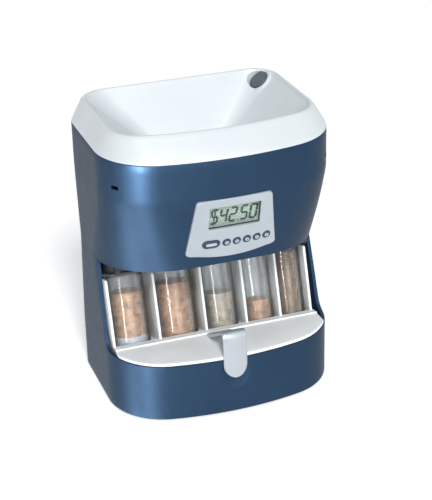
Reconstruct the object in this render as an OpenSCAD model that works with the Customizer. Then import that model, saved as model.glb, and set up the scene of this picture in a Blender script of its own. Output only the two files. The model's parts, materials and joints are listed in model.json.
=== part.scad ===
// Coin sorting machine: bow-fronted casing, hopper lid, display panel and a
// lean-back tray of five clear coin tubes over a motor-driven sorting disc.
// Millimetres, +Z up, front faces -Y.

/* [Casing] */
// Overall width
body_w = 160; // [150:1:172]
// Half depth, from the middle to the front or back face
half_depth = 61; // [59:0.5:66]
// Height of the casing under the lid
casing_h = 188; // [186:1:196]
// Radius of the bowed front
bow_r = 217; // [190:1:260]
// Plan radius of the front corners
front_corner_r = 42.5; // [38:0.5:46]
// Plan radius of the back corners
back_corner_r = 21; // [16:0.5:24]
// Casing wall thickness
wall = 2.4; // [2:0.1:2.8]
// Height of the base rim
rim_z = 42; // [41:0.5:42]
// Drop from the casing's top to the crease above the chin
crease_drop = 27.5; // [27:0.5:29]
// Height of the chin from its lower corners to the crease
chin_h = 57.5; // [56.5:0.5:58]
// How far the chin's lower edge is set back
chin_inset = 14; // [13:0.5:15]
// Plan radius of the chin's lower corners
chin_corner_r = 60; // [56:1:62]
// How far each side wall is drawn in under the chin
waist_inset = 1.4; // [0.8:0.1:1.6]
// Rise of the arched chin edge in the middle
chin_arch = 6; // [4:0.5:6]
// Foot height below the casing
foot_h = 1.2; // [1:0.1:1.6]

/* [Lid] */
// Height of the lid above the casing
lid_h = 15; // [13:0.5:16]
// How far the lid's top edge is drawn in at the sides
lid_side_in = 8.3; // [7.5:0.1:9]
// How far the lid's top edge is drawn in at the front
lid_front_in = 15.2; // [14:0.1:16]
// Rim width between the lid's edge and the funnel
lid_rim = 3; // [2.6:0.1:3.4]
// Lid wall thickness
lid_wall = 2; // [1.8:0.1:2.2]
// Half width of the funnel's throat
throat_half = 17; // [15:0.5:18]
// Depth of the funnel from the lid's top to its throat
funnel_h = 44; // [43:0.5:45]
// Power button radius
power_r = 7.2; // [6.8:0.1:7.4]
// Power button travel
power_travel = 1.5; // [1:0.1:1.6]

/* [Panel] */
// Panel half width at the top
panel_top_half = 26; // [25:0.5:27]
// Panel half width at the bottom
panel_low_half = 31.6; // [31:0.2:32]
// Panel height at its middle
panel_h = 46.6; // [46:0.2:47]
// Panel thickness standing proud of the chin
panel_proud = 1.4; // [1.2:0.1:1.8]
// Display window width
window_w = 35.6; // [34:0.2:37]
// Display window height
window_h = 17.2; // [16:0.2:18]
// Round key radius
key_r = 2.75; // [2.5:0.05:2.8]
// Spacing of the round keys
key_pitch = 7.1; // [7:0.05:7.2]
// Long key length
long_key_w = 12; // [11:0.2:12.4]
// Long key height
long_key_h = 6.2; // [5.6:0.2:6.4]
// Key travel
key_travel = 0.8; // [0.6:0.1:0.9]

/* [Tray] */
// Lean of the tubes from upright, degrees
lean = 17; // [16:0.5:18]
// From the casing's left side to the tray
tray_left_in = 4; // [3.8:0.1:4.2]
// From the casing's right side to the tray
tray_right_in = 7; // [6:0.2:8]
// Tray end plate thickness
fin_t = 1.8; // [1.6:0.1:2]
// Divider thickness
divider_t = 1.8; // [1.6:0.1:2]
// Height of the tray's end plates and dividers
fin_h = 49; // [46:0.5:50]
// Apron thickness
apron_t = 2.4; // [2:0.1:2.8]
// Middle of the handle
handle_x = -2.5; // [-4:0.5:0]
// Handle width
handle_w = 17; // [15:0.5:18]
// Handle thickness at its middle
handle_t = 3; // [2.8:0.1:3.2]
// Height of the handle over the apron
handle_rise = 18; // [16:0.5:20]
// How far the handle stands out in front
handle_proud = 3.6; // [3.2:0.1:4]

/* [Tubes] */
// Tube length
tube_h = 49.5; // [47:0.5:50]
// Tube wall
tube_t = 1.2; // [1:0.1:1.3]
// Radial clearance between a coin and its tube
coin_gap = 0.4; // [0.35:0.05:0.5]
// Quarter diameter
quarter_d = 24.26; // [24.2:0.02:24.3]
// Dollar diameter
dollar_d = 26.5; // [26.4:0.02:26.6]
// Nickel diameter
nickel_d = 21.21; // [21.15:0.02:21.25]
// Penny diameter
penny_d = 19.05; // [19:0.01:19.1]
// Dime diameter
dime_d = 17.91; // [17.85:0.02:17.95]

/* [Sorter] */
// Sorting disc radius
disc_r = 42; // [40:0.5:43]
// Gap between the motor and the back wall
motor_gap = 1.6; // [1.4:0.1:2]
// Drop from the funnel's throat to the sorting deck
deck_drop = 19; // [18.5:0.5:20]
// Deck thickness
deck_t = 3; // [2.6:0.1:3.2]
// Gear module
gear_m = 1; // [1:0.01:1.02]
// Disc gear teeth
disc_teeth = 60; // [60:4:60]
// Motor pinion teeth
pinion_teeth = 12; // [12:4:12]
// Tooth height
gear_t = 5; // [4.5:0.1:5.2]
// Disc post radius
post_r = 4; // [3.6:0.1:4.4]
// Motor can radius
motor_r = 13; // [12:0.2:13.4]
// Motor can length
motor_l = 34; // [30:0.5:36]

/* [Power] */
// Cell radius
cell_r = 7.1; // [7:0.05:7.2]
// Cell length
cell_l = 50.2; // [49.6:0.2:50.4]
// Spacing of the cells
cell_pitch = 15.2; // [14.8:0.1:15.4]
// Battery door width
door_w = 60; // [58:0.5:62]
// Battery door height
door_h = 54; // [52:0.5:55]

/* [Fits] */
// Gap between fixed pieces
fit_gap = 0.3; // [0.25:0.05:0.35]
// Gap round a key
key_gap = 0.25; // [0.2:0.05:0.3]
// Radial gap of a running fit
run_gap = 0.05; // [0.03:0.01:0.08]
// Screw shank radius
screw_r = 1.4; // [1.3:0.05:1.5]

/* [Hidden] */
half_w = body_w / 2;
mid_y = handle_proud / 2;
front_y = -half_depth;
back_y = half_depth;
lid_top_z = casing_h + lid_h;
crease_z = casing_h - crease_drop;
chin_z = crease_z - chin_h;
throat_z = lid_top_z - funnel_h;
deck_z = throat_z - deck_drop;
chin_tilt = atan(chin_inset / chin_h);
tray_left = tray_left_in - half_w;
tray_right = half_w - tray_right_in;
tray_y = front_y + 41;
tray_z = rim_z + 0.5;
tray_floor_t = 2;
tray_depth = 33.5;
runner_gap = 0.3;
n_front = 9;
n_back = 5;
n_bow = 12;
arch_half = half_w - 10;
arch_r = (arch_half * arch_half + chin_arch * chin_arch) / (2 * chin_arch);
panel_back = -7;
window_x = 0.5;
window_v = -14;
key_v = -34.6;
long_key_x = -14.8;
key_x = [for (i = [0 : 4]) -4.2 + i * key_pitch];
key_rise = 0.7;
coin_d = [quarter_d, dollar_d, nickel_d, penny_d, dime_d];
coin_n = [41, 50, 34, 18, 46];
coin_from = [6.2, 0.2, 0.2, 0.2, 0.2];
tube_rad = [for (d = coin_d) d / 2 + coin_gap + tube_t];
tubes_w = 2 * (tube_rad[0] + tube_rad[1] + tube_rad[2] + tube_rad[3] + tube_rad[4]);
// Space left over beside the tubes, and each tube's share of it, left and right.
slack = tray_right - tray_left - 2 * fin_t - 1.4 - 4 * divider_t - tubes_w;
share = [[0.107, 0.2165], [0.1137, 0.0969], [0.1765, 0.1428], [0.0906, 0.04], [0.0122, 0.0038]];
function bay_w(i) = (share[i][0] + share[i][1]) * slack + 2 * tube_rad[i];
function bay_x(i) = i == 0 ? tray_left + fin_t : bay_x(i - 1) + bay_w(i - 1) + divider_t;
divider_x = [for (i = [1 : 4]) bay_x(i) - divider_t / 2];
tube_x = [for (i = [0 : 4]) bay_x(i) + share[i][0] * slack + tube_rad[i]];
chute_z = tube_h + 1.5;
track_z = chute_z + 15;
track_top = (deck_z - deck_t - tray_z) / cos(lean) - 6.8;
track_k = (track_top - track_z) / 26;
box_half = 2 * cell_pitch + 2.6;
box_h = cell_l + 5.8;
deep = half_depth / 61;
disc_rad = disc_r * deep;
gear_mod = gear_m * deep;
gear_r = gear_mod * disc_teeth / 2;
pinion_r = gear_mod * pinion_teeth / 2;
disc_y = back_y - wall - motor_gap - motor_r - gear_r - pinion_r;
pinion_y = disc_y + gear_r + pinion_r;
gear_z = deck_z + 1.6;
disc_z = gear_z + gear_t + 0.6;
power_pos = [half_w - 20.6, back_y - 11.8, lid_top_z - 6];
power_tilt = [0, -40, 8];
box_y = back_y - 22;
cell_y = box_y + 2 + cell_r + 1;
box_z = 14;
door_z = 43;
screw_xy = [[22 - half_w, front_y + 31], [half_w - 22, front_y + 31],
  [14 - half_w, back_y - 17], [half_w - 14, back_y - 17]];
foot_xy = [[36 - half_w, front_y + 15], [half_w - 36, front_y + 15],
  [30 - half_w, back_y - 15], [half_w - 30, back_y - 15]];
clip_x = half_w - 6.6;
clip_y = front_y + 24;
clip_z = casing_h - 18;

function arc(cx, cy, r, a0, a1, n) =
  [for (i = [0 : n]) let (a = a0 + (a1 - a0) * i / n) [cx + r * cos(a), cy + r * sin(a)]];

// Bow-fronted outline: half width, front, bow radius, corner radius, back, back radius.
function outline(hw, yf, rb, rc, yb, rk) =
  let (yc = yf + rb - sqrt((rb - rc) * (rb - rc) - (hw - rc) * (hw - rc)))
  let (t = atan2(yc - yf - rb, hw - rc))
  let (bow = arc(0, yf + rb, rb, 180 - t, 360 + t, n_bow))
  concat(
    arc(hw - rc, yc, rc, t, 0, n_front),
    arc(hw - rk, yb - rk, rk, 0, 90, n_back),
    arc(rk - hw, yb - rk, rk, 90, 180, n_back),
    arc(rc - hw, yc, rc, 180, 180 - t, n_front),
    [for (i = [1 : n_bow - 1]) bow[i]]
  );

// Casing outline drawn in by d, with extra setbacks at the front and sides.
function casing_ring(d, side = 0, set = 0, rc = front_corner_r) =
  outline(half_w - side - d, front_y + set + d, bow_r - d, rc - d, back_y - d, back_corner_r - d);

module loft(levels, rings) {
  n = len(rings[0]);
  m = len(rings);
  pts = [for (k = [0 : m - 1]) for (p = rings[k]) [p[0], p[1], levels[k]]];
  low = [for (i = [0 : n - 1]) i];
  top = [for (i = [0 : n - 1]) m * n - 1 - i];
  sides = [
    for (k = [0 : m - 2])
    for (i = [0 : n - 1])
    let (a = k * n + i)
    let (b = k * n + (i + 1) % n)
    each [[a, a + n, b + n], [a, b + n, b]]
  ];
  polyhedron(points = pts, faces = concat([low], [top], sides), convexity = 6);
}

module shift() {
  translate([0, mid_y, 0]) children();
}

// Frame of the leaning tray: +Z along the tubes, +Y back along the floor.
module leaning() {
  translate([0, tray_y, tray_z]) rotate([-lean, 0, 0]) children();
}

// Frame of the chin: +Y up the face, +Z out of it, origin on the crease.
module on_chin() {
  translate([0, front_y, crease_z]) rotate([90 + chin_tilt, 0, 0]) children();
}

module rod(r, h, z = 0) {
  translate([0, 0, z]) cylinder(r = r, h = h, $fn = 48);
}

module box(x0, x1, y0, y1, z0, z1) {
  translate([x0, y0, z0]) cube([x1 - x0, y1 - y0, z1 - z0]);
}

module slot2d(w, h) {
  for (s = [-1, 1]) translate([s * (w - h) / 2, 0]) circle(r = h / 2, $fn = 32);
  square([w - h, h], center = true);
}

function chin_set(z) = chin_inset * (crease_z - z) / (crease_z - chin_z);
function chin_rc(k) = front_corner_r + (chin_corner_r - front_corner_r) * k;

module casing_solid(d, z0, z1) {
  levels = [z0, rim_z, chin_z, crease_z - 42.5, crease_z - 24.5, crease_z - 8.5, crease_z, z1];
  rings = [
    casing_ring(d),
    casing_ring(d, 0.1),
    casing_ring(d, waist_inset, chin_set(chin_z), chin_rc(1)),
    casing_ring(d, waist_inset * 0.7, chin_set(crease_z - 42.5), chin_rc(0.62)),
    casing_ring(d, waist_inset * 0.35, chin_set(crease_z - 24.5), chin_rc(0.27)),
    casing_ring(d, waist_inset * 0.1, chin_set(crease_z - 8.5), chin_rc(0.07)),
    casing_ring(d),
    casing_ring(d)
  ];
  loft(levels, rings);
}

// Space of the opening under the chin, in front of the leaning side edges.
module opening() {
  slope = tan(lean);
  y0 = tray_y + 6;
  top = chin_z + chin_arch + 3;
  intersection() {
    translate([0, 0, chin_z + chin_arch - arch_r]) rotate([90, 0, 0])
      cylinder(r = arch_r, h = 300, center = true, $fn = 180);
    translate([-100, 0, 0]) rotate([90, 0, 90]) linear_extrude(200)
      polygon([
        [-100, rim_z], [y0 - 9, rim_z], [y0 - 5.4, rim_z + 0.7], [y0 - 2.4, rim_z + 2.5],
        [y0 + 0.2, rim_z + 5.4], [y0 + 9.4 * slope + 0.2, rim_z + 9.4],
        [y0 + (top - rim_z) * slope, top], [-100, top]
      ]);
  }
}

module screw_post(p, z0, z1) {
  translate([p[0], p[1], z0]) difference() {
    cylinder(r = 4, h = z1 - z0, $fn = 32);
    translate([0, 0, -1]) cylinder(r = screw_r + 0.05, h = 13, $fn = 24);
  }
}

module panel_shape(d = 0) {
  top = panel_top_half + d;
  low = panel_low_half + d;
  deep = panel_h + d;
  rc = 3.2 + d;
  corner = deep - 6.4;
  difference() {
    polygon([
      [-top, d], [-low + 0.3, -corner], [-low + 1.4, -corner - 2], [-low + 3.6, -corner - 3.2],
      [-20, -deep + 1.6], [-10, -deep + 0.4], [0, -deep], [10, -deep + 0.4], [20, -deep + 1.6],
      [low - 3.6, -corner - 3.2], [low - 1.4, -corner - 2], [low - 0.3, -corner], [top, d]
    ]);
    for (s = [-1, 1]) translate([s * (top + 0.2), d + 0.2]) rotate(45) square([2.2, 2.2], center = true);
  }
}

module casing() {
  color("steelblue") shift() difference() {
    union() {
      difference() {
        casing_solid(0, foot_h, casing_h);
        casing_solid(wall, foot_h - 1, casing_h + 1);
        opening();
      }
      // Backing behind the finger scoop.
      intersection() {
        casing_solid(0.2, foot_h, casing_h);
        box(handle_x - 15, handle_x + 15, front_y, front_y + 4.6, foot_h + 2.8, rim_z);
      }
      // Screw posts for the bottom plate.
      intersection() {
        casing_solid(wall - 0.4, foot_h, casing_h);
        for (p = screw_xy) {
          screw_post(p, foot_h + 3, 26);
          translate([p[0] > 0 ? p[0] + 3 : p[0] - 23, p[1] - 0.8, foot_h + 3]) cube([20, 1.6, 21]);
        }
      }
      // Ledges that carry the deck.
      intersection() {
        casing_solid(wall - 0.4, foot_h, casing_h);
        for (s = [-1, 1]) for (y = [-14, 36])
          box(s * (half_w - 8) - 8, s * (half_w - 8) + 8, y - 4, y + 4, deck_z - deck_t - 9, deck_z - deck_t);
      }
      // Ledges that carry the chutes.
      intersection() {
        casing_solid(wall - 0.4, foot_h, casing_h);
        leaning() for (s = [-1, 1])
          box(s * (half_w - 2) - 5, s * (half_w - 2) + 5, 36.4, 40, chute_z - 8, chute_z);
      }
    }
    // Finger scoop round the end of the handle.
    translate([handle_x, front_y - 38.2, 31]) sphere(r = 40, $fn = 96);
    // Window for the display panel.
    on_chin() translate([0, 0, -12]) linear_extrude(24) panel_shape(fit_gap);
    // Clip windows near the lid.
    for (s = [-1, 1]) translate([s * clip_x, clip_y, clip_z]) rotate([0, 0, s * 58])
      cube([6, 5.4, 2.6], center = true);
    // Battery bay in the back wall.
    box(-door_w / 2 - fit_gap, door_w / 2 + fit_gap, back_y - 6, back_y + 2,
        door_z - door_h / 2 - fit_gap, door_z + door_h / 2 + fit_gap);
  }
}

module bottom_plate() {
  color("dimgray") shift() translate([0, 0, foot_h]) difference() {
    union() {
      linear_extrude(2.4) polygon(casing_ring(wall + fit_gap));
      for (p = screw_xy) translate([p[0], p[1], 0]) cylinder(r = 5.4, h = 3, $fn = 32);
      for (y = [-24, -8, 24]) box(30 - half_w, half_w - 30, y, y + 1.6, 2, 4);
    }
    for (p = screw_xy) translate([p[0], p[1], -1]) {
      cylinder(r = screw_r + 0.2, h = 9, $fn = 24);
      cylinder(r = 3.1, h = 2.4, $fn = 24);
    }
    for (p = foot_xy) translate([p[0], p[1], -1]) cylinder(r = 6.1, h = 2, $fn = 40);
  }
}

module feet() {
  color("black") shift() for (p = foot_xy) translate([p[0], p[1], 0]) cylinder(r = 6, h = 1 + foot_h, $fn = 40);
}

module base_screws() {
  color("silver") shift() for (p = screw_xy) translate([p[0], p[1], foot_h]) difference() {
    union() {
      translate([0, 0, 0.1]) cylinder(r = 2.8, h = 1.2, $fn = 24);
      translate([0, 0, 1]) cylinder(r = screw_r, h = 9, $fn = 24);
    }
    for (a = [0, 90]) rotate([0, 0, a]) cube([3, 0.6, 1.4], center = true);
  }
}

// Lid outline with the skirt drawn in by the fraction k, then inset by d.
function lid_ring(k, d) =
  outline(half_w - lid_side_in * k - d, front_y + lid_front_in * k + d, bow_r + 20 * k,
    front_corner_r - 17 * k - d * 0.5, back_y - d, back_corner_r - 2.4 * k - d * 0.5);

function throat_ring(d) =
  outline(throat_half + d, disc_y - 17 - d, 300, 3.5 + d, disc_y + 17 + d, 3.5 + d);

module funnel(d) {
  loft([throat_z - 1, throat_z, lid_top_z - 1.2 - d, lid_top_z + 1 - d],
    [throat_ring(d), throat_ring(d), lid_ring(1, lid_rim - d), lid_ring(1, lid_rim - d)]);
}

module lid() {
  color("gainsboro") shift() difference() {
    union() {
      difference() {
        loft([casing_h, casing_h + 1, casing_h + 7, lid_top_z - 2.6, lid_top_z - 0.9, lid_top_z],
          [lid_ring(0, 0.2), lid_ring(0.04, 0), lid_ring(0.45, 0), lid_ring(0.86, 0),
          lid_ring(0.96, 0.4), lid_ring(1, 1.2)]);
        loft([casing_h - 1, casing_h + 6, lid_top_z - 3],
          [lid_ring(0, lid_wall), lid_ring(0.42, lid_wall), lid_ring(0.86, lid_wall)]);
      }
      intersection() {
        funnel(lid_wall);
        box(-half_w, half_w, front_y, back_y, throat_z, lid_top_z - 0.6);
      }
      // Locating lip inside the casing.
      difference() {
        translate([0, 0, casing_h - 3]) linear_extrude(5) polygon(casing_ring(wall + fit_gap));
        translate([0, 0, casing_h - 4]) linear_extrude(8) polygon(casing_ring(wall + fit_gap + 1.6));
      }
      // Clips that catch in the casing windows.
      for (s = [-1, 1]) intersection() {
        casing_solid(wall + fit_gap, 100, casing_h);
        translate([s * clip_x, clip_y, 0]) rotate([0, 0, s * 58]) union() {
          box(-4.6, 0.2, -2.4, 2.4, clip_z - 1, casing_h - 0.5);
        }
      }
      // Boss of the power button.
      intersection() {
        translate(power_pos) rotate(power_tilt) translate([0, 0, -5])
          cylinder(r = power_r + 2, h = 12, $fn = 48);
        loft([throat_z, lid_top_z], [lid_ring(1, 0.8), lid_ring(1, 0.8)]);
      }
    }
    difference() {
      funnel(0);
      translate(power_pos) rotate(power_tilt) translate([0, 0, -12])
        cylinder(r = power_r + 2, h = 12, $fn = 48);
    }
    translate(power_pos) rotate(power_tilt) {
      translate([0, 0, -12]) cylinder(r = 1.6 + key_gap, h = 20, $fn = 32);
      translate([0, 0, -3.4]) cylinder(r = power_r + key_gap, h = 12, $fn = 48);
    }
  }
}

module power_button() {
  color("darkslategray") shift() translate(power_pos) rotate(power_tilt) {
    translate([0, 0, -3.4 + power_travel + 0.1]) cylinder(r = power_r, h = 3.2, $fn = 48);
    translate([0, 0, -5.2]) cylinder(r = 1.6, h = 4, $fn = 32);
  }
}

module power_switch() {
  color("dimgray") shift() translate(power_pos) rotate(power_tilt) difference() {
    translate([-3.2, -3.2, -8.6]) cube([6.4, 6.4, 3.5]);
    translate([0, 0, -5.3 - power_travel]) cylinder(r = 1.9, h = 20, $fn = 32);
  }
}

module panel() {
  color("lightsteelblue") shift() difference() {
    intersection() {
      on_chin() union() {
        translate([0, 0, panel_back + 1.8]) linear_extrude(16) panel_shape(0);
        translate([0, 0, panel_back]) linear_extrude(1.8) panel_shape(2);
      }
      casing_solid(-panel_proud, rim_z + 1, crease_z + 14.5);
    }
    on_chin() {
      // Hollow back.
      translate([0, 0, panel_back - 1]) linear_extrude(4) panel_shape(-2.4);
      // Stepped display opening.
      translate([window_x, window_v, -8]) linear_extrude(20) square([window_w, window_h], center = true);
      translate([window_x, window_v, -8]) linear_extrude(6.8) square([window_w + 4.6, window_h + 4.6], center = true);
      translate([0, key_v, -8]) {
        for (x = key_x) translate([x, 0, 0]) cylinder(r = key_r + key_gap, h = 20, $fn = 32);
        translate([long_key_x, 0, 0]) linear_extrude(20)
          slot2d(long_key_w + 2 * key_gap, long_key_h + 2 * key_gap);
      }
    }
  }
}

module display_lens() {
  color("lightgray", 0.5) shift() on_chin() translate([window_x, window_v, -2.4])
    linear_extrude(1.2) square([window_w + 4, window_h + 4], center = true);
}

module display_module() {
  color("darkseagreen") shift() on_chin() difference() {
    translate([window_x, window_v, -5.2]) linear_extrude(2.6) square([window_w + 4, window_h + 4], center = true);
    translate([window_x, window_v, -2.9]) linear_extrude(2) square([window_w + 1, window_h + 1], center = true);
  }
}

module circuit_board() {
  color("darkgreen") shift() on_chin() difference() {
    translate([0, -23, -10.6]) linear_extrude(1.6) square([56, 42], center = true);
    for (x = [-25, 25]) for (y = [-5, -41]) translate([x, y, -12]) cylinder(r = 1.6, h = 6, $fn = 24);
  }
}

module key_switches() {
  color("gray") shift() on_chin() for (x = concat([long_key_x], key_x)) translate([x, key_v, -9]) {
    translate([-2.8, -2.8, 0]) cube([5.6, 5.6, 1.6]);
    translate([0, 0, 1.5]) cylinder(r = 1.5, h = 0.9, $fn = 24);
  }
}

// How far the bowed panel falls back at x.
function bow_sag(x) = x * x / (2 * bow_r);

module key_long() {
  color("midnightblue") shift() on_chin() translate([long_key_x, key_v, 0]) {
    translate([0, 0, -4.6]) linear_extrude(4.6 + panel_proud + key_rise - bow_sag(long_key_x))
      slot2d(long_key_w, long_key_h);
    translate([0, 0, -5.6]) cylinder(r = 1.6, h = 3, $fn = 24);
  }
}

module round_key(i) {
  color("midnightblue") shift() on_chin() translate([key_x[i], key_v, 0]) {
    translate([0, 0, -4.6]) cylinder(r = key_r, h = 4.6 + panel_proud + key_rise - bow_sag(key_x[i]), $fn = 32);
    translate([0, 0, -5.6]) cylinder(r = 1.6, h = 3, $fn = 24);
  }
}

module key_1() round_key(0);
module key_2() round_key(1);
module key_3() round_key(2);
module key_4() round_key(3);
module key_5() round_key(4);

// Apron shape: the base outline cut to the tray's ends.
module apron_shape() {
  intersection() {
    polygon(casing_ring(0.3));
    union() {
      translate([tray_left, -100]) square([tray_right - tray_left - 22, 100 + tray_y + 4]);
      translate([tray_right - 22, front_y + 21]) circle(r = 22, $fn = 64);
      translate([tray_right - 44, front_y + 21]) square([44, tray_y + 4 - front_y - 21]);
      translate([tray_right - 46, -100]) square([24, 100 + tray_y + 4]);
    }
  }
}

module tray() {
  color("whitesmoke") shift() {
    difference() {
      union() {
        // Apron over the base rim.
        difference() {
          translate([0, 0, rim_z + 0.3]) linear_extrude(apron_t) apron_shape();
          leaning() box(-100, 100, -1, 80, -20, 30);
        }
        leaning() {
          // Floor, front lip, back wall.
          box(tray_left, tray_right, -6.2, tray_depth + 1.8, -tray_floor_t, 0);
          box(tray_left, tray_right, -6.2, -0.6, -tray_floor_t, 1.6);
          box(tray_left, tray_right, tray_depth, tray_depth + 1.8, -1, fin_h - 4);
          // End plates and dividers.
          box(tray_left, tray_left + fin_t, -0.6, tray_depth + 0.5, -1, fin_h);
          box(tray_right - fin_t - 1.4, tray_right - 1.4, -0.6, tray_depth + 0.5, -1, fin_h);
          for (x = divider_x) box(x - divider_t / 2, x + divider_t / 2, -0.6, tray_depth + 0.5, -1, fin_h);
          // Seats round the tubes and the raised pad of the first one.
          for (i = [0 : 4]) translate([tube_x[i], tube_y(i), -0.5])
            cylinder(r = coin_d[i] / 2 - 1.5, h = 0.6, $fn = 48);
          translate([tube_x[0], tube_y(0), -0.5])
            cylinder(r = coin_d[0] / 2, h = coin_from[0] + 0.4, $fn = 48);
        }
      }
    }
  }
}

function tube_r(i) = coin_d[i] / 2 + coin_gap + tube_t;
function tube_y(i) = 0.6 + tube_r(i);

module tube(i) {
  color("white", 0.35) shift() leaning() translate([tube_x[i], tube_y(i), 0.15]) difference() {
    cylinder(r = tube_r(i), h = tube_h, $fn = 72);
    translate([0, 0, -1]) cylinder(r = tube_r(i) - tube_t, h = tube_h + 2, $fn = 72);
  }
}

module tube_quarter() tube(0);
module tube_dollar() tube(1);
module tube_nickel() tube(2);
module tube_penny() tube(3);
module tube_dime() tube(4);

module stack(i, h) {
  color("peru") shift() leaning() translate([tube_x[i], tube_y(i), coin_from[i]])
    cylinder(r = coin_d[i] / 2, h = h, $fn = 64);
}

module coins_quarter() stack(0, 31);
module coins_dollar() stack(1, 38);
module coins_nickel() stack(2, 25);
module coins_penny() stack(3, 15);
module coins_dime() stack(4, 46);

// Strap handle: a crowned tongue hangs in front of the rim, stands up past it and slopes back to the apron.
module handle() {
  top_z = rim_z + 0.3 + apron_t;
  y_out = front_y - handle_proud;
  y_in = y_out + handle_t;
  crown_r = handle_w * 1.1;
  peak = top_z + handle_rise;
  color("silver") shift() translate([handle_x, 0, 0]) intersection() {
    translate([-handle_w / 2, 0, 0]) rotate([90, 0, 90]) linear_extrude(handle_w) polygon([
      [y_out, rim_z - 12.5], [y_out + 0.2, top_z], [y_out + 1.2, peak - 5.4], [y_out + 2, peak - 2.4],
      [y_out + 3.4, peak - 0.8], [y_out + 5.4, peak], [y_out + 7.6, peak - 0.2], [y_out + 9.8, peak - 1.4],
      [tray_y - 8.4, top_z + 2.4], [tray_y - 7.2, top_z + 1.4], [tray_y - 7, top_z + 0.02],
      [tray_y - 11.4, top_z + 0.02], [y_in + 6, peak - 3.6], [y_in + 3.4, peak - 3],
      [y_in + 1.6, peak - 5.4], [y_in + 0.4, top_z + 2], [y_in, top_z - 3.2], [y_in, rim_z - 12.5]
    ]);
    // Crown across the tongue.
    translate([0, y_out + crown_r, 0]) union() {
      cylinder(r = crown_r, h = lid_top_z, $fn = 200);
      box(-handle_w, handle_w, 0, half_depth, 0, lid_top_z);
    }
    // Half-round end.
    translate([0, front_y + 80, 0]) rotate([90, 0, 0]) linear_extrude(100) union() {
      translate([0, rim_z - 4]) circle(r = handle_w / 2, $fn = 96);
      translate([-handle_w / 2, rim_z - 4]) square([handle_w, 60]);
    }
  }
}

module tray_deck() {
  color("darkslategray") shift() {
    leaning() {
      difference() {
        box(6 - half_w, half_w - 6, 2, 40, -tray_floor_t - runner_gap - 3, -tray_floor_t - runner_gap);
        box(28 - half_w, half_w - 28, 8, 30, -20, 10);
      }
    }
    for (s = [-1, 1]) difference() {
      box(s * (half_w - 14) - 1, s * (half_w - 14) + 1, tray_y + 4, tray_y + 38, foot_h + 4, 60);
      leaning() box(-100, 100, -80, 80, -tray_floor_t - runner_gap - 1, 80);
      box(-100, 100, tray_y - 40, tray_y + 7, 30, 80);
    }
  }
}

// Gear outline with straight-flanked teeth.
module gear2d(teeth, m) {
  r = teeth * m / 2;
  step = 360 / teeth;
  half_pitch = (PI * m / 4 - 0.2) / r * 180 / PI;
  half_tip = (0.34 * m) / (r + m) * 180 / PI;
  half_root = (PI * m / 4 + 0.12) / (r - 1.2 * m) * 180 / PI;
  polygon([
    for (i = [0 : teeth - 1])
    for (q = [[-half_root, r - 1.2 * m], [-half_pitch, r], [-half_tip, r + 0.9 * m],
      [half_tip, r + 0.9 * m], [half_pitch, r], [half_root, r - 1.2 * m]])
    [q[1] * cos(i * step + q[0]), q[1] * sin(i * step + q[0])]
  ]);
}

module sort_disc() {
  color("ivory") shift() translate([0, disc_y, 0]) difference() {
    union() {
      translate([0, 0, gear_z]) rotate([0, 0, 90]) linear_extrude(gear_t) gear2d(disc_teeth, gear_mod);
      rod(gear_r - 3, 2, gear_z + gear_t - 1);
      rod(disc_rad, 2.4, disc_z);
      rod(9, 9, disc_z);
      for (a = [0 : 60 : 300]) rotate([0, 0, a]) translate([14, -1, disc_z + 2]) cube([disc_rad - 16, 2, 1.6]);
    }
    rod(post_r + run_gap, 60, gear_z - 10);
    for (a = [30 : 60 : 330]) rotate([0, 0, a]) translate([18, 0, gear_z - 1]) cylinder(r = 5, h = gear_t - 1, $fn = 32);
  }
}

module drive_pinion() {
  color("gold") shift() translate([0, pinion_y, gear_z + 0.2]) difference() {
    rotate([0, 0, -90 + 180 / pinion_teeth]) linear_extrude(gear_t - 0.6) gear2d(pinion_teeth, gear_mod);
    translate([0, 0, -1]) cylinder(r = 1.5, h = 20, $fn = 24);
  }
}

module motor_shaft() {
  color("silver") shift() translate([0, pinion_y, deck_z - deck_t - 3]) cylinder(r = 1.5, h = gear_z - deck_z + deck_t + 7, $fn = 24);
}

module motor() {
  color("lightgray") shift() translate([0, pinion_y, deck_z - deck_t - motor_l]) difference() {
    union() {
      cylinder(r = motor_r, h = motor_l, $fn = 64);
      translate([0, 0, -2]) cylinder(r = 4, h = 3, $fn = 32);
    }
    translate([0, 0, motor_l - 4]) cylinder(r = 1.5 + run_gap, h = 6, $fn = 24);
  }
}

module deck() {
  color("slategray") shift() difference() {
    union() {
      intersection() {
        translate([0, 0, deck_z - deck_t]) linear_extrude(deck_t) polygon(casing_ring(wall + fit_gap + 0.6, 0.6, 5.6, front_corner_r + 6));
        box(-half_w, half_w, front_y + 18, back_y, 0, lid_top_z);
      }
      translate([0, disc_y, 0]) {
        rod(post_r, disc_z + 10 - deck_z + 1, deck_z - 1);
        // Well round the disc with its exit at the front.
        difference() {
          rod(disc_rad + 3.4, 16, deck_z - 1);
          rod(disc_rad + 1.2, 30, deck_z - 10);
          box(-44, -12, -60, 0, deck_z + 7, deck_z + 30);
        }
      }
    }
    // Clearance for the pinion and the motor boss.
    translate([0, pinion_y, deck_z - 10]) cylinder(r = 2.4, h = 30, $fn = 32);
    translate([0, pinion_y, deck_z]) cylinder(r = pinion_r + 2, h = 7, $fn = 48);
  }
}

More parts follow.
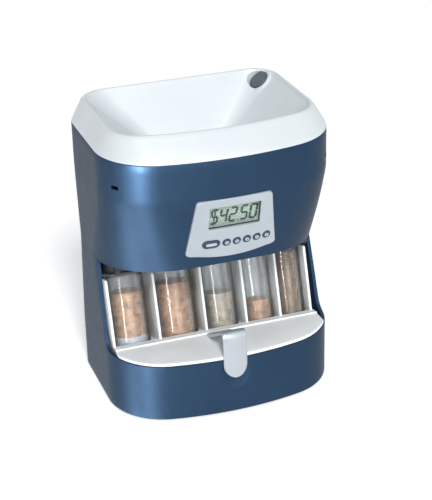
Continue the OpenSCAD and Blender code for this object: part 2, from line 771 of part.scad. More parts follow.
// Sorting track: a leaning plate with a sloping rail and graded windows.
module sort_track() {
  color("silver") shift() leaning() difference() {
    union() {
      box(11 - half_w, half_w - 11, -9.4, -7.8, track_z, track_top);
      box(11 - half_w, half_w - 11, -9.4, -4, track_z, track_z + 1.6);
      // Legs that stand on the chute plate.
      for (s = [-1, 1]) box(s * (half_w - 12.5) - 1.5, s * (half_w - 12.5) + 1.5, -9.4, 0, chute_z + 2, track_z + 1);
    }
    for (i = [0 : 4]) translate([tube_x[i] - coin_d[i] / 2 + 4, -18, track_z + (2 + (30 - coin_d[i]) * 0.22) * track_k])
      cube([coin_d[i] - 8, 20, coin_d[i] * 0.72 * track_k]);
  }
}

module chutes() {
  color("white") shift() leaning() difference() {
    union() {
      box(4 - half_w, half_w - 4, -3, 40, chute_z, chute_z + 2);
      for (i = [0 : 4]) translate([tube_x[i], tube_y(i), chute_z]) cylinder(r = coin_d[i] / 2 + 2.6, h = 12, $fn = 64);
    }
    for (i = [0 : 4]) translate([tube_x[i], tube_y(i), chute_z - 11]) cylinder(r = coin_d[i] / 2 + 1, h = 40, $fn = 64);
  }
}

module coin_sensors() {
  color("black") shift() leaning() for (i = [0 : 4]) translate([tube_x[i], tube_y(i) + coin_d[i] / 2 + 3.1, chute_z + 4])
    box(-3, 3, 0, 4, 0, 6);
}

module battery_box() {
  color("dimgray") shift() difference() {
    box(-box_half, box_half, box_y, back_y - wall - 0.2, box_z, box_z + box_h);
    box(1.6 - box_half, box_half - 1.6, box_y + 1.6, back_y + 5, box_z + 1.6, box_z + 4 + cell_l + 0.2);
  }
}

module cells() {
  color("darkorange") shift() for (i = [0 : 3]) translate([(i - 1.5) * cell_pitch, cell_y, box_z + 3.6]) {
    cylinder(r = cell_r, h = cell_l - 1.4, $fn = 48);
    translate([0, 0, cell_l - 1.6]) cylinder(r = 2.7, h = 1.6, $fn = 32);
  }
}

module contacts() {
  top = box_z + 4 + cell_l + 0.2;
  color("silver") shift() for (i = [0 : 3]) translate([(i - 1.5) * cell_pitch, cell_y, 0]) {
    box(-5, 5, -4, 4, box_z + 1.6, box_z + 2);
    translate([0, 0, box_z + 1.9]) cylinder(r = 3, h = 1.7, $fn = 32);
    box(-5, 5, -4, 4, top - 0.4, top);
  }
}

module battery_door() {
  color("steelblue") shift() difference() {
    box(-door_w / 2, door_w / 2, back_y - 1.8, back_y, door_z - door_h / 2, door_z + door_h / 2);
    for (k = [0 : 4]) box(-8, 8, back_y - 0.7, back_y + 1, door_z + 12 + k * 2.4, door_z + 13 + k * 2.4);
  }
}

casing();
bottom_plate();
feet();
base_screws();
lid();
power_button();
power_switch();
panel();
display_lens();
display_module();
circuit_board();
key_switches();
key_long();
key_1();
key_2();
key_3();
key_4();
key_5();
tray();
handle();
tube_quarter();
tube_dollar();
tube_nickel();
tube_penny();
tube_dime();
coins_quarter();
coins_dollar();
coins_nickel();
coins_penny();
coins_dime();
tray_deck();
chutes();
coin_sensors();
sort_track();
sort_disc();
drive_pinion();
motor_shaft();
motor();
deck();
battery_box();
cells();
contacts();
battery_door();
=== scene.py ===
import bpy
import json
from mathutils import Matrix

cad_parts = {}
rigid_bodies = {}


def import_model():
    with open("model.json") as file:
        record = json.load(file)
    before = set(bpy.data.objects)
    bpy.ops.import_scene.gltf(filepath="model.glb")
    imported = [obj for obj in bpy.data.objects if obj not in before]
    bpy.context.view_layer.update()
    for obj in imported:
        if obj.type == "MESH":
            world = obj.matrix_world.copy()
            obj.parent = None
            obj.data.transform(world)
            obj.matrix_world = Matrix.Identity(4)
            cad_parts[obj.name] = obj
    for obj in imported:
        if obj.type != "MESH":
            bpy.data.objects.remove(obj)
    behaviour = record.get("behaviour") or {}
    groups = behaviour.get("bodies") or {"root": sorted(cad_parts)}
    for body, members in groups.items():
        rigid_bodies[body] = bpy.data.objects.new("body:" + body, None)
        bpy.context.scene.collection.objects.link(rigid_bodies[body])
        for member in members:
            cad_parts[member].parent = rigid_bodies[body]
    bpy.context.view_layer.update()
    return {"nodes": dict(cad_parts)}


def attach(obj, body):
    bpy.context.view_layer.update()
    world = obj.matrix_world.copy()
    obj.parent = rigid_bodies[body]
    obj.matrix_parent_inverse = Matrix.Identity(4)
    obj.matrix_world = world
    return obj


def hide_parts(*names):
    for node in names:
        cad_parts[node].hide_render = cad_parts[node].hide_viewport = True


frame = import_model()

"""Coin sorting machine: satin blue casing, silver hopper lid, key panel and a tray of clear tubes.

Lengths are in millimetres until a mesh is made. The plan's middle line is 1.8 mm behind the origin,
because the handle stands out in front.
"""

import json
import logging
import math
from dataclasses import dataclass
from enum import Enum
from typing import Callable, Sequence

import bpy
import numpy as np
from mathutils import Matrix, Vector

log = logging.getLogger("coin_sorter")
Array = np.ndarray
# One value for each level of a shape, or one for all of them.
Levels = Array | Sequence[float] | float

MM = 0.001
SHIFT_Y = 1.8


# ---------------------------------------------------------------- small tools


def linear(hex_colour: str) -> tuple[float, float, float, float]:
    """Turn an sRGB hex colour into linear RGBA.

    Args:
        hex_colour: six hex digits, with or without a leading #.

    Returns:
        Linear red, green, blue and an alpha of 1.
    """
    text = hex_colour.lstrip("#")
    values = [int(text[i : i + 2], 16) / 255.0 for i in (0, 2, 4)]
    out = [v / 12.92 if v <= 0.04045 else ((v + 0.055) / 1.055) ** 2.4 for v in values]
    return (out[0], out[1], out[2], 1.0)


def add_node(tree: bpy.types.NodeTree, kind: str, settings: dict | None = None,
             links: dict | None = None) -> bpy.types.Node:
    """Add one shader node with its settings and incoming links.

    Args:
        tree: the node tree that gets the node.
        kind: Blender's node type name.
        settings: values by attribute or input name.
        links: output sockets by input name or number.

    Returns:
        The new node.
    """
    node = tree.nodes.new(kind)
    for key, value in (settings or {}).items():
        if isinstance(key, str) and hasattr(node, key) and key not in node.inputs:
            setattr(node, key, value)
        else:
            node.inputs[key].default_value = value
    for key, socket in (links or {}).items():
        tree.links.new(socket, node.inputs[key])
    return node


def turn_x(degrees: float) -> Array:
    """Return the 3 by 3 matrix of a turn about X."""
    c, s = math.cos(math.radians(degrees)), math.sin(math.radians(degrees))
    return np.array([[1, 0, 0], [0, c, -s], [0, s, c]], float)


def turn_y(degrees: float) -> Array:
    """Return the 3 by 3 matrix of a turn about Y."""
    c, s = math.cos(math.radians(degrees)), math.sin(math.radians(degrees))
    return np.array([[c, 0, s], [0, 1, 0], [-s, 0, c]], float)


def turn_z(degrees: float) -> Array:
    """Return the 3 by 3 matrix of a turn about Z."""
    c, s = math.cos(math.radians(degrees)), math.sin(math.radians(degrees))
    return np.array([[c, -s, 0], [s, c, 0], [0, 0, 1]], float)


@dataclass(frozen=True)
class Place:
    """A local frame: a turn and an origin, both in millimetres of the machine's plan."""

    turn: tuple[tuple[float, ...], ...]
    origin: tuple[float, float, float]

    def put(self, points: Array) -> Array:
        """Carry local points, shape (..., 3), into the machine."""
        return points @ np.array(self.turn).T + np.array(self.origin)


UPRIGHT = Place(((1, 0, 0), (0, 1, 0), (0, 0, 1)), (0, 0, 0))


def place(turn: Array, origin: Sequence[float]) -> Place:
    """Build a Place from a matrix and an origin."""
    return Place(tuple(tuple(float(v) for v in row) for row in turn), tuple(float(v) for v in origin))


def mesh_object(name: str, points: Array, faces: Sequence[Sequence[int]] | Array,
                crease: float = 38.0) -> bpy.types.Object:
    """Make an object whose mesh holds the points, shaded smooth up to a crease angle.

    Args:
        name: name of the piece.
        points: (n, 3) positions in millimetres of the machine's plan.
        faces: quads as an (m, 4) array, or a list of polygons.
        crease: angle in degrees past which an edge is sharp.

    Returns:
        The new Blender object.
    """
    mesh = bpy.data.meshes.new(name)
    moved = (points.reshape(-1, 3) + np.array([0.0, SHIFT_Y, 0.0])) * MM
    if isinstance(faces, np.ndarray):
        count = len(faces)
        mesh.vertices.add(len(moved))
        mesh.vertices.foreach_set("co", moved.astype(np.float32).ravel())
        mesh.loops.add(count * faces.shape[1])
        mesh.loops.foreach_set("vertex_index", faces.astype(np.int32).ravel())
        mesh.polygons.add(count)
        mesh.polygons.foreach_set("loop_start", np.arange(count, dtype=np.int32) * faces.shape[1])
        mesh.update(calc_edges=True)
    else:
        mesh.from_pydata(moved.tolist(), [], [list(map(int, f)) for f in faces])
    mesh.validate()
    mesh.shade_smooth()
    mesh.set_sharp_from_angle(angle=math.radians(crease))
    obj = bpy.data.objects.new(name, mesh)
    bpy.context.scene.collection.objects.link(obj)
    return obj


def grid_quads(rows: int, cols: int, wrap_rows: bool, wrap_cols: bool) -> Array:
    """Index the quads of a grid of points, where point (r, c) has the number r * cols + c.

    Args:
        rows: points along the first direction.
        cols: points along the second.
        wrap_rows: whether the last row joins the first.
        wrap_cols: whether the last column joins the first.

    Returns:
        (quads, 4) point numbers.
    """
    r = np.arange(rows if wrap_rows else rows - 1)
    c = np.arange(cols if wrap_cols else cols - 1)
    r, c = np.meshgrid(r, c, indexing="ij")
    r2, c2 = (r + 1) % rows, (c + 1) % cols
    return np.stack([r * cols + c, r * cols + c2, r2 * cols + c2, r2 * cols + c], -1).reshape(-1, 4)


def signed_volume(points: Array, faces: Array) -> float:
    """Six times the volume inside the faces: (a x b) . c, summed over the triangles of each face.

    Args:
        points: (..., 3) positions.
        faces: (m, 3) or (m, 4) point numbers.

    Returns:
        The sum, positive when the faces point outward.
    """
    p = points.reshape(-1, 3)
    a, b, c = (p[faces[:, i]] for i in range(3))
    total = (np.cross(a, b) * c).sum()
    if faces.shape[1] == 4:
        total += (np.cross(a, c) * p[faces[:, 3]]).sum()
    return float(total)


def ring_solid(name: str, grid: Array, crease: float = 38.0) -> bpy.types.Object:
    """Closed solid from a grid that wraps both ways, such as a shell's whole cross-section.

    Args:
        name: name of the piece.
        grid: (profile, around, 3) points in the machine's plan.
        crease: sharp edge angle in degrees.

    Returns:
        The new object, faces outward.
    """
    quads = grid_quads(grid.shape[0], grid.shape[1], True, True)
    if signed_volume(grid, quads) < 0:
        quads = quads[:, ::-1]
    return mesh_object(name, grid, quads, crease)


def capped_solid(name: str, grid: Array, crease: float = 38.0) -> bpy.types.Object:
    """Closed solid from rings stacked along a profile, with a fan at each end.

    Args:
        name: name of the piece.
        grid: (rings, around, 3) points; each end ring is closed by a fan to its middle.
        crease: sharp edge angle in degrees.

    Returns:
        The new object, faces outward.
    """
    rows, cols = grid.shape[:2]
    quads = grid_quads(rows, cols, False, True)
    points = np.concatenate([grid.reshape(-1, 3), grid[0].mean(0)[None], grid[-1].mean(0)[None]])
    i = np.arange(cols)
    j = (i + 1) % cols
    low = np.stack([j, i, np.full(cols, rows * cols)], -1)
    top = np.stack([(rows - 1) * cols + i, (rows - 1) * cols + j, np.full(cols, rows * cols + 1)], -1)
    faces = quads.tolist() + low.tolist() + top.tolist()
    if sum(signed_volume(points, part) for part in (quads, low, top)) < 0:
        faces = [f[::-1] for f in faces]
    return mesh_object(name, points, faces, crease)


class Combine(Enum):
    """Ways to work one closed solid with others."""

    CUT = "DIFFERENCE"
    JOIN = "UNION"
    COMMON = "INTERSECT"


def combine(obj: bpy.types.Object, others: Sequence[bpy.types.Object], how: Combine = Combine.CUT,
            crease: float = 38.0) -> bpy.types.Object:
    """Cut, join or trim a piece with closed solids by exact booleans, then drop the solids.

    Args:
        obj: the piece that changes.
        others: the closed solids it is worked with.
        how: whether they are taken away, added, or what both share is kept.
        crease: sharp edge angle in degrees afterwards.

    Returns:
        The same object with its new mesh.
    """
    for other in others:
        mod = obj.modifiers.new("combine", "BOOLEAN")
        mod.operation = how.value
        mod.solver = "EXACT"
        mod.object = other
    graph = bpy.context.evaluated_depsgraph_get()
    mesh = bpy.data.meshes.new_from_object(obj.evaluated_get(graph))
    obj.modifiers.clear()
    old = obj.data
    obj.data = mesh
    bpy.data.meshes.remove(old)
    for other in others:
        data = other.data
        bpy.data.objects.remove(other)
        bpy.data.meshes.remove(data)
    mesh.shade_smooth()
    mesh.set_sharp_from_angle(angle=math.radians(crease))
    return obj


def arc(cx: Array, cy: Array, r: Array, a0: Array, a1: Array, count: int) -> Array:
    """Arcs, one for each level: (cx + r cos a, cy + r sin a), with a from a0 to a1.

    Args:
        cx: their middles in x.
        cy: their middles in y.
        r: their radii.
        a0: angles at the start, in radians.
        a1: angles at the end.
        count: points on each.

    Returns:
        (levels, count, 2) points.
    """
    s = np.linspace(0.0, 1.0, count)[None, :]
    a = a0[:, None] + (a1 - a0)[:, None] * s
    return np.stack([cx[:, None] + r[:, None] * np.cos(a), cy[:, None] + r[:, None] * np.sin(a)], -1)


def run(p: Array, q: Array, count: int) -> Array:
    """Straight runs, one for each level: (1 - s) p + s q, without the ends.

    Args:
        p: (levels, 2) starts.
        q: (levels, 2) ends.
        count: points on each.

    Returns:
        (levels, count, 2) points.
    """
    s = np.linspace(0.0, 1.0, count + 2)[1:-1][None, :, None]
    return p[:, None, :] * (1 - s) + q[:, None, :] * s


def closed_polygon(corners: Sequence[tuple[float, float]], radius: float, steps: int = 5) -> Array:
    """Polygon with rounded corners.

    Each corner p is cut back along its edges to a and b, and filled with the curve
    (1 - s)^2 a + 2 s (1 - s) p + s^2 b.

    Args:
        corners: its corners in order.
        radius: how far each is cut back, at most 0.45 of its shorter edge.
        steps: spans in each corner.

    Returns:
        (n, 2) points.
    """
    p = np.array(corners, float)
    before, after = np.roll(p, 1, 0) - p, np.roll(p, -1, 0) - p
    lb, la = np.linalg.norm(before, axis=1), np.linalg.norm(after, axis=1)
    r = np.minimum(radius, 0.45 * np.minimum(lb, la))[:, None]
    a, b = p + before / lb[:, None] * r, p + after / la[:, None] * r
    s = np.linspace(0, 1, steps + 1)[None, :, None]
    curve = (1 - s) ** 2 * a[:, None] + 2 * s * (1 - s) * p[:, None] + s**2 * b[:, None]
    return curve.reshape(-1, 2)


def edge_profile(depth: float, radius: float, steps: int = 4) -> list[tuple[float, float]]:
    """Side of a slab: each rounded edge is at height r (1 - sin t) and inset r (1 - cos t).

    Args:
        depth: how thick the slab is.
        radius: edge rounding.
        steps: spans in each rounded edge.

    Returns:
        (height, inset) pairs from bottom to top.
    """
    a = np.linspace(0, math.pi / 2, steps + 1)
    low = [(radius * (1 - math.sin(t)), radius * (1 - math.cos(t))) for t in a[::-1]]
    return low + [(depth - z, d) for z, d in low[::-1]]


def inset(plan: Array, d: float) -> Array:
    """Move a closed outline inward: each point by d / cos(half its turn), along its mean edge normal.

    Args:
        plan: (n, 2) counter-clockwise points.
        d: how far, or outward when it is negative.

    Returns:
        (n, 2) moved points.
    """
    e = np.roll(plan, -1, 0) - plan
    keep = np.linalg.norm(e, axis=1) > 1e-6
    e[~keep] = 1e-6
    n = np.stack([-e[:, 1], e[:, 0]], -1) / np.linalg.norm(e, axis=1)[:, None]
    m = n + np.roll(n, 1, 0)
    length = np.maximum(np.linalg.norm(m, axis=1), 1e-6)
    m = m / length[:, None]
    scale = 1.0 / np.clip((m * n).sum(1), 0.6, 1.0)
    return plan + m * (d * scale)[:, None]


def slab(name: str, plan: Array, z0: float, z1: float, radius: float, where: Place = UPRIGHT,
         crease: float = 38.0) -> bpy.types.Object:
    """Plate of an outline between two heights with rounded edges.

    Args:
        name: name of the piece.
        plan: (n, 2) counter-clockwise points.
        z0: lower face.
        z1: upper face.
        radius: edge rounding.
        where: frame the plate is drawn in.
        crease: sharp edge angle.

    Returns:
        The new object.
    """
    radius = min(radius, 0.49 * (z1 - z0))
    rings = []
    for z, d in edge_profile(z1 - z0, radius):
        ring = inset(plan, d)
        rings.append(np.concatenate([ring, np.full((len(ring), 1), z0 + z)], 1))
    return capped_solid(name, where.put(np.array(rings)), crease)


def block(name: str, low: Sequence[float], high: Sequence[float], radius: float = 0.4,
          corner: float = 0.6, where: Place = UPRIGHT) -> bpy.types.Object:
    """Box with rounded upright corners and rounded edges.

    Args:
        name: name of the piece.
        low: its least x, y and z.
        high: its greatest x, y and z.
        radius: edge rounding of its lower and upper face.
        corner: rounding of its upright corners.
        where: frame the box is drawn in.

    Returns:
        The new object.
    """
    x0, y0, z0 = low
    x1, y1, z1 = high
    ring = closed_polygon([(x0, y0), (x1, y0), (x1, y1), (x0, y1)], corner, 4)
    return slab(name, ring, z0, z1, radius, where)


def lathe(name: str, profile: Sequence[tuple[float, float]], where: Place = UPRIGHT, around: int = 64,
          centre: tuple[float, float] = (0.0, 0.0), crease: float = 38.0,
          ring: bool = False) -> bpy.types.Object:
    """Turned piece: a profile of radius and height carried round the local Z axis.

    Args:
        name: name of the piece.
        profile: (radius, height) pairs from bottom to top, or a whole loop when ring is true.
        where: frame the axis stands in.
        around: points round the axis.
        centre: local position of the axis.
        crease: sharp edge angle.
        ring: whether the profile closes on itself, as for a tube.

    Returns:
        The new object.
    """
    p = np.array(profile, float)
    a = np.linspace(0, 2 * math.pi, around, endpoint=False)
    x = centre[0] + p[:, :1] * np.cos(a)[None]
    y = centre[1] + p[:, :1] * np.sin(a)[None]
    grid = np.stack([x, y, np.broadcast_to(p[:, 1:], x.shape)], -1)
    make: Callable = ring_solid if ring else capped_solid
    return make(name, where.put(grid), crease)


def disc_profile(radius: float, z0: float, z1: float, edge: float,
                 crown: float = 0.0) -> list[tuple[float, float]]:
    """Profile of a disc with rounded edges, its top crown (1 - k^2) higher at the share k of its radius.

    Args:
        radius: outer radius.
        z0: lower face.
        z1: upper face at the rim.
        edge: edge rounding.
        crown: how much higher the middle is.

    Returns:
        (radius, height) pairs from bottom to top.
    """
    a = np.linspace(0, math.pi / 2, 5)
    low = [(radius - edge * (1 - math.sin(t)), z0 + edge * (1 - math.cos(t))) for t in a]
    top = [(radius - edge * (1 - math.cos(t)), z1 - edge * (1 - math.sin(t))) for t in a]
    inner = [((radius - edge) * k, z1 + crown * (1 - k * k)) for k in (0.8, 0.6, 0.4, 0.2, 0.04)]
    return [(0.05, z0)] + low + top + inner


# ---------------------------------------------------------------- finishes


class Grain(Enum):
    """How a moulded surface was finished in its tool, by the strength of its bump."""

    POLISHED = 0.015
    SATIN = 0.03
    SPARKED = 0.12


def start_material(name: str) -> tuple[bpy.types.Material, bpy.types.NodeTree, bpy.types.NodeSocket]:
    """Make an empty material.

    Args:
        name: common name of the real material.

    Returns:
        The material, its node tree and its Object coordinates.
    """
    mat = bpy.data.materials.new(name)
    mat.use_nodes = True
    tree = mat.node_tree
    tree.nodes.clear()
    return mat, tree, add_node(tree, "ShaderNodeTexCoord").outputs["Object"]


@dataclass(frozen=True)
class MouldedPlastic:
    """Injection-moulded plastic: even colour, fine tool grain, faint flow mottling and dull scuffs.

    A dielectric gives soft highlights; metallic pigment, where there is any, adds a satin sheen.
    """

    name: str
    colour: str
    dark: str
    roughness: float = 0.36
    pigment: float = 0.0
    grain: Grain = Grain.SATIN
    coat: float = 0.0
    edge: str = "ffffff"

    def build(self) -> bpy.types.Material:
        """Make the material: mottled colour, scuffed roughness and tool grain as bump.

        Returns:
            The new material.
        """
        mat, tree, coords = start_material(self.name)
        # Flow mottling about 25 mm across.
        flow = add_node(tree, "ShaderNodeTexNoise", {"Scale": 40.0, "Detail": 3.0, "Roughness": 0.5},
                        {"Vector": coords})
        soft = add_node(tree, "ShaderNodeMapRange", {"From Min": 0.3, "From Max": 0.62},
                        {"Value": flow.outputs["Fac"]})
        tint = add_node(tree, "ShaderNodeMix",
                        {"data_type": "RGBA", 6: linear(self.dark), 7: linear(self.colour)},
                        {0: soft.outputs["Result"]})
        # Scuffs about 4 mm long dull the gloss a little.
        scuff = add_node(tree, "ShaderNodeTexNoise", {"Scale": 240.0, "Detail": 2.0}, {"Vector": coords})
        rough = add_node(tree, "ShaderNodeMapRange", {"From Min": 0.35, "From Max": 0.7,
                         "To Min": self.roughness - 0.02, "To Max": self.roughness + 0.03},
                         {"Value": scuff.outputs["Fac"]})
        # Tool grain about 0.5 mm, drawn coarser than the real 0.05 mm so that it shows.
        fine = add_node(tree, "ShaderNodeTexNoise", {"Scale": 1900.0, "Detail": 1.0}, {"Vector": coords})
        bump = add_node(tree, "ShaderNodeBump", {"Strength": self.grain.value, "Distance": 0.0002},
                        {"Height": fine.outputs["Fac"]})
        shader = add_node(tree, "ShaderNodeBsdfPrincipled",
                          {"Metallic": self.pigment, "IOR": 1.53, "Coat Weight": self.coat,
                           "Coat Roughness": 0.16, "Specular Tint": linear(self.edge)},
                          {"Base Color": tint.outputs[2], "Roughness": rough.outputs["Result"],
                           "Normal": bump.outputs["Normal"]})
        add_node(tree, "ShaderNodeOutputMaterial", {}, {"Surface": shader.outputs["BSDF"]})
        return mat


@dataclass(frozen=True)
class ClearStyrene:
    """Clear moulded plastic: nearly see-through and glossy, with painted shade where the wall is seen edge
    on: a darker colour that stands in for the dark bands that refraction gives.
    """

    name: str
    colour: str
    body: float
    edge: str
    edge_body: float

    def build(self) -> bpy.types.Material:
        """Make the material: a thin pale body over what is behind, painted shade edge on (a darker, denser
        colour in place of refraction's dark bands), and a wavy gloss.

        Returns:
            The new material.
        """
        mat, tree, coords = start_material(self.name)
        # Waves in the wall about 11 mm long, which bend its highlights.
        wave = add_node(tree, "ShaderNodeTexNoise", {"Scale": 90.0, "Detail": 1.0}, {"Vector": coords})
        bump = add_node(tree, "ShaderNodeBump", {"Strength": 0.05, "Distance": 0.0004},
                        {"Height": wave.outputs["Fac"]})
        shade = add_node(tree, "ShaderNodeMapRange", {"To Min": 0.05, "To Max": 0.12},
                         {"Value": wave.outputs["Fac"]})
        # Painted shade: toward a grazing view the colour turns to the dark edge colour and the body grows
        # denser. This stands in for the dark bands that refraction gives at the tube's sides.
        facing = add_node(tree, "ShaderNodeLayerWeight", {"Blend": 0.5}).outputs["Facing"]
        body = add_node(tree, "ShaderNodeMapRange", {"From Min": 0.3, "From Max": 0.52,
                        "To Min": self.body, "To Max": self.edge_body}, {"Value": facing})
        rim = add_node(tree, "ShaderNodeMapRange", {"From Min": 0.3, "From Max": 0.52}, {"Value": facing})
        tint = add_node(tree, "ShaderNodeMix",
                        {"data_type": "RGBA", 6: linear(self.colour), 7: linear(self.edge)},
                        {0: rim.outputs["Result"]})
        shader = add_node(tree, "ShaderNodeBsdfPrincipled", {"IOR": 1.59, "Transmission Weight": 0.8},
                          {"Base Color": tint.outputs[2], "Alpha": body.outputs["Result"],
                           "Normal": bump.outputs["Normal"], "Roughness": shade.outputs["Result"]})
        add_node(tree, "ShaderNodeOutputMaterial", {}, {"Surface": shader.outputs["BSDF"]})
        mat.surface_render_method = "BLENDED"
        return mat


@dataclass(frozen=True)
class StruckMetal:
    """Coin, screw or sheet metal: brushed or struck, with toning in patches."""

    name: str
    colour: str
    toned: str
    roughness: float = 0.32
    metal: float = 1.0

    def build(self) -> bpy.types.Material:
        """Make the material: toned patches that are also duller, and fine strike marks as bump.

        Returns:
            The new material.
        """
        mat, tree, coords = start_material(self.name)
        # Toning in patches about 4.5 mm across.
        patch = add_node(tree, "ShaderNodeTexNoise", {"Scale": 220.0, "Detail": 4.0}, {"Vector": coords})
        ramp = add_node(tree, "ShaderNodeMapRange", {"From Min": 0.34, "From Max": 0.66},
                        {"Value": patch.outputs["Fac"]})
        tint = add_node(tree, "ShaderNodeMix",
                        {"data_type": "RGBA", 6: linear(self.toned), 7: linear(self.colour)},
                        {0: ramp.outputs["Result"]})
        rough = add_node(tree, "ShaderNodeMapRange",
                         {"To Min": self.roughness - 0.05, "To Max": self.roughness + 0.12},
                         {"Value": patch.outputs["Fac"]})
        # Strike marks about 1 mm, drawn coarser than the real 0.1 mm so that they show.
        fine = add_node(tree, "ShaderNodeTexNoise", {"Scale": 900.0, "Detail": 2.0}, {"Vector": coords})
        bump = add_node(tree, "ShaderNodeBump", {"Strength": 0.12, "Distance": 0.0002},
                        {"Height": fine.outputs["Fac"]})
        shader = add_node(tree, "ShaderNodeBsdfPrincipled", {"Metallic": self.metal},
                          {"Base Color": tint.outputs[2], "Roughness": rough.outputs["Result"],
                           "Normal": bump.outputs["Normal"]})
        add_node(tree, "ShaderNodeOutputMaterial", {}, {"Surface": shader.outputs["BSDF"]})
        return mat


@dataclass(frozen=True)
class PrintedLayer:
    """Printed or etched layer, such as solder mask, display glass or ink: flat with fine speckle."""

    name: str
    colour: str
    speck: str
    scale: float = 900.0
    roughness: float = 0.4

    def build(self) -> bpy.types.Material:
        """Make the material: two close tones in fine speckle.

        Returns:
            The new material.
        """
        mat, tree, coords = start_material(self.name)
        cells = add_node(tree, "ShaderNodeTexNoise", {"Scale": self.scale, "Detail": 2.0},
                         {"Vector": coords})
        tint = add_node(tree, "ShaderNodeMix",
                        {"data_type": "RGBA", 6: linear(self.colour), 7: linear(self.speck)},
                        {0: cells.outputs["Fac"]})
        shader = add_node(tree, "ShaderNodeBsdfPrincipled", {"Roughness": self.roughness},
                          {"Base Color": tint.outputs[2]})
        add_node(tree, "ShaderNodeOutputMaterial", {}, {"Surface": shader.outputs["BSDF"]})
        return mat


class Finish(Enum):
    """Every finish of the machine, by the real material it stands for."""

    # Metal flake under a satin skin: navy that brightens to steel blue where it turns to the light.
    CASING = MouldedPlastic("Metallic blue ABS", "253f59", "233c55", 0.4, 0.65, Grain.SATIN, 0.0, "c4beb4")
    # Pearl pigment in a pale moulding: silver-white, with soft broad highlights.
    LID = MouldedPlastic("Pearl silver ABS", "e2e9ed", "dfe6ea", 0.42, 0.1, Grain.SATIN, 0.0)
    # Silver paint over a flat plate: even, cool and a little duller than the lid.
    PANEL = MouldedPlastic("Silver-blue painted ABS", "b6bfc6", "b1bac1", 0.42, 0.15, Grain.SATIN)
    # Plain white moulding: bright and faintly glossy, shading grey in the bays.
    TRAY = MouldedPlastic("White polystyrene", "f2f5f6", "e9eef0", 0.42, 0.0, Grain.SATIN)
    # The same plastic in grey off a sparked tool: flat and dull.
    PEDESTAL = MouldedPlastic("Grey polystyrene", "b4babf", "a7aeb4", 0.5, 0.0, Grain.SPARKED)
    # Bright flake off a polished tool: the palest, glossiest silver, with a crisp streak.
    HANDLE = MouldedPlastic("Bright silver ABS", "bdc3ca", "b8bfc6", 0.36, 0.45, Grain.POLISHED, 0.1)
    # Smooth navy keycaps with a thin coat, which catch a small highlight.
    KEY = MouldedPlastic("Navy keycap ABS", "1b3553", "172c47", 0.35, 0.0, Grain.POLISHED, 0.1)
    # Coated dark cap, greener than the keys.
    BUTTON = MouldedPlastic("Dark green-grey ABS", "445156", "3e4a50", 0.45, 0.0, Grain.POLISHED, 0.3)
    # Sparked inner mouldings that swallow the light.
    DARK = MouldedPlastic("Dark grey ABS", "2b2f34", "23272b", 0.55, 0.0, Grain.SPARKED)
    # Matt feet with no highlight.
    RUBBER = MouldedPlastic("Black rubber", "1b1b1d", "141416", 0.85, 0.0, Grain.SPARKED)
    # Waxy ivory of the sorting disc.
    ACETAL = MouldedPlastic("Ivory acetal", "e9e3d2", "ddd6c3", 0.38, 0.0, Grain.SATIN)
    # Clear tubes: pale streaks in front, and dark bands at both sides painted as shade where the wall is
    # seen edge on.
    TUBE = ClearStyrene("Clear polystyrene", "e4e9ec", 0.26, "565149", 0.8)
    # Thin window that hardly tints the display.
    LENS = ClearStyrene("Clear acrylic window", "8d9a92", 0.06, "8d9a92", 0.06)
    # Worn copper alloy: warm tan with brown patches and little shine.
    COPPER = StruckMetal("Copper coin alloy", "c9a07e", "956f4c", 0.6, 0.5)
    # Turned brass of the pinion.
    BRASS = StruckMetal("Brass", "cda85a", "a98438", 0.3)
    # Worn white coin alloy: warm grey.
    NICKEL = StruckMetal("Cupronickel coin alloy", "b6a996", "837869", 0.58, 0.5)
    # Darkest coins, dark brown all over with browner patches.
    TONED = StruckMetal("Toned coin alloy", "8d6b48", "5b4529", 0.58, 0.5)
    # Bright zinc with a blue-grey cast.
    STEEL = StruckMetal("Zinc-plated steel", "c4c8cc", "a4a9af", 0.34)
    # Grey-green glass behind the digits.
    LCD = PrintedLayer("Liquid crystal display glass", "adc1b4", "a7bcaf", 300.0, 0.3)
    # Segments as dark green-grey shapes on the glass.
    DIGIT = PrintedLayer("Dark liquid crystal segment", "3a4b46", "34443f", 300.0, 0.5)
    # Green lacquer with faint speckle.
    SOLDER_MASK = PrintedLayer("Green solder mask", "1f5b36", "2b7145", 400.0, 0.35)
    # Copper-coloured film of the cells.
    CELL_SLEEVE = PrintedLayer("Copper-coloured cell sleeve", "b8763a", "9c5f2c", 300.0, 0.3)
    # Pale ink rings and bar on the keys.
    MARK = PrintedLayer("White pad-printed ink", "bcc7d3", "b3bfcb", 900.0, 0.5)

    def material(self) -> bpy.types.Material:
        """The finish's material, built the first time it is asked for."""
        found = bpy.data.materials.get(self.value.name)
        return found or self.value.build()


class Body(Enum):
    """Bodies that the new pieces ride on."""

    FRAME = "frame"
    TRAY = "tray"
    POWER = "power_key"
    LONG_KEY = "long_key"
    ROUND_1 = "round_key_1"
    ROUND_2 = "round_key_2"
    ROUND_3 = "round_key_3"
    ROUND_4 = "round_key_4"
    ROUND_5 = "round_key_5"
    DOOR = "door"


def finish_piece(obj: bpy.types.Object, finish: Finish, node: str,
                 body: Body = Body.FRAME) -> bpy.types.Object:
    """Give a piece its finish, slot and body, and let it stand for a CAD node.

    Args:
        obj: the piece.
        finish: what it is made of.
        node: CAD node it replaces.
        body: what it rides on.

    Returns:
        The same object.
    """
    obj.data.materials.clear()
    obj.data.materials.append(finish.material())
    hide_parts(node)
    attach(obj, body.value)
    log.info("%-20s %-28s %6d faces", obj.name, finish.value.name, len(obj.data.polygons))
    return obj


def dress(node: str, finish: Finish) -> None:
    """Give a CAD node its finish without touching its mesh.

    Args:
        node: name of the node.
        finish: what it is made of.
    """
    data = frame["nodes"][node].data
    data.materials.clear()
    data.materials.append(finish.material())
    log.info("%-20s %-28s dressed", node, finish.value.name)


# ---------------------------------------------------------------- the shell's shape


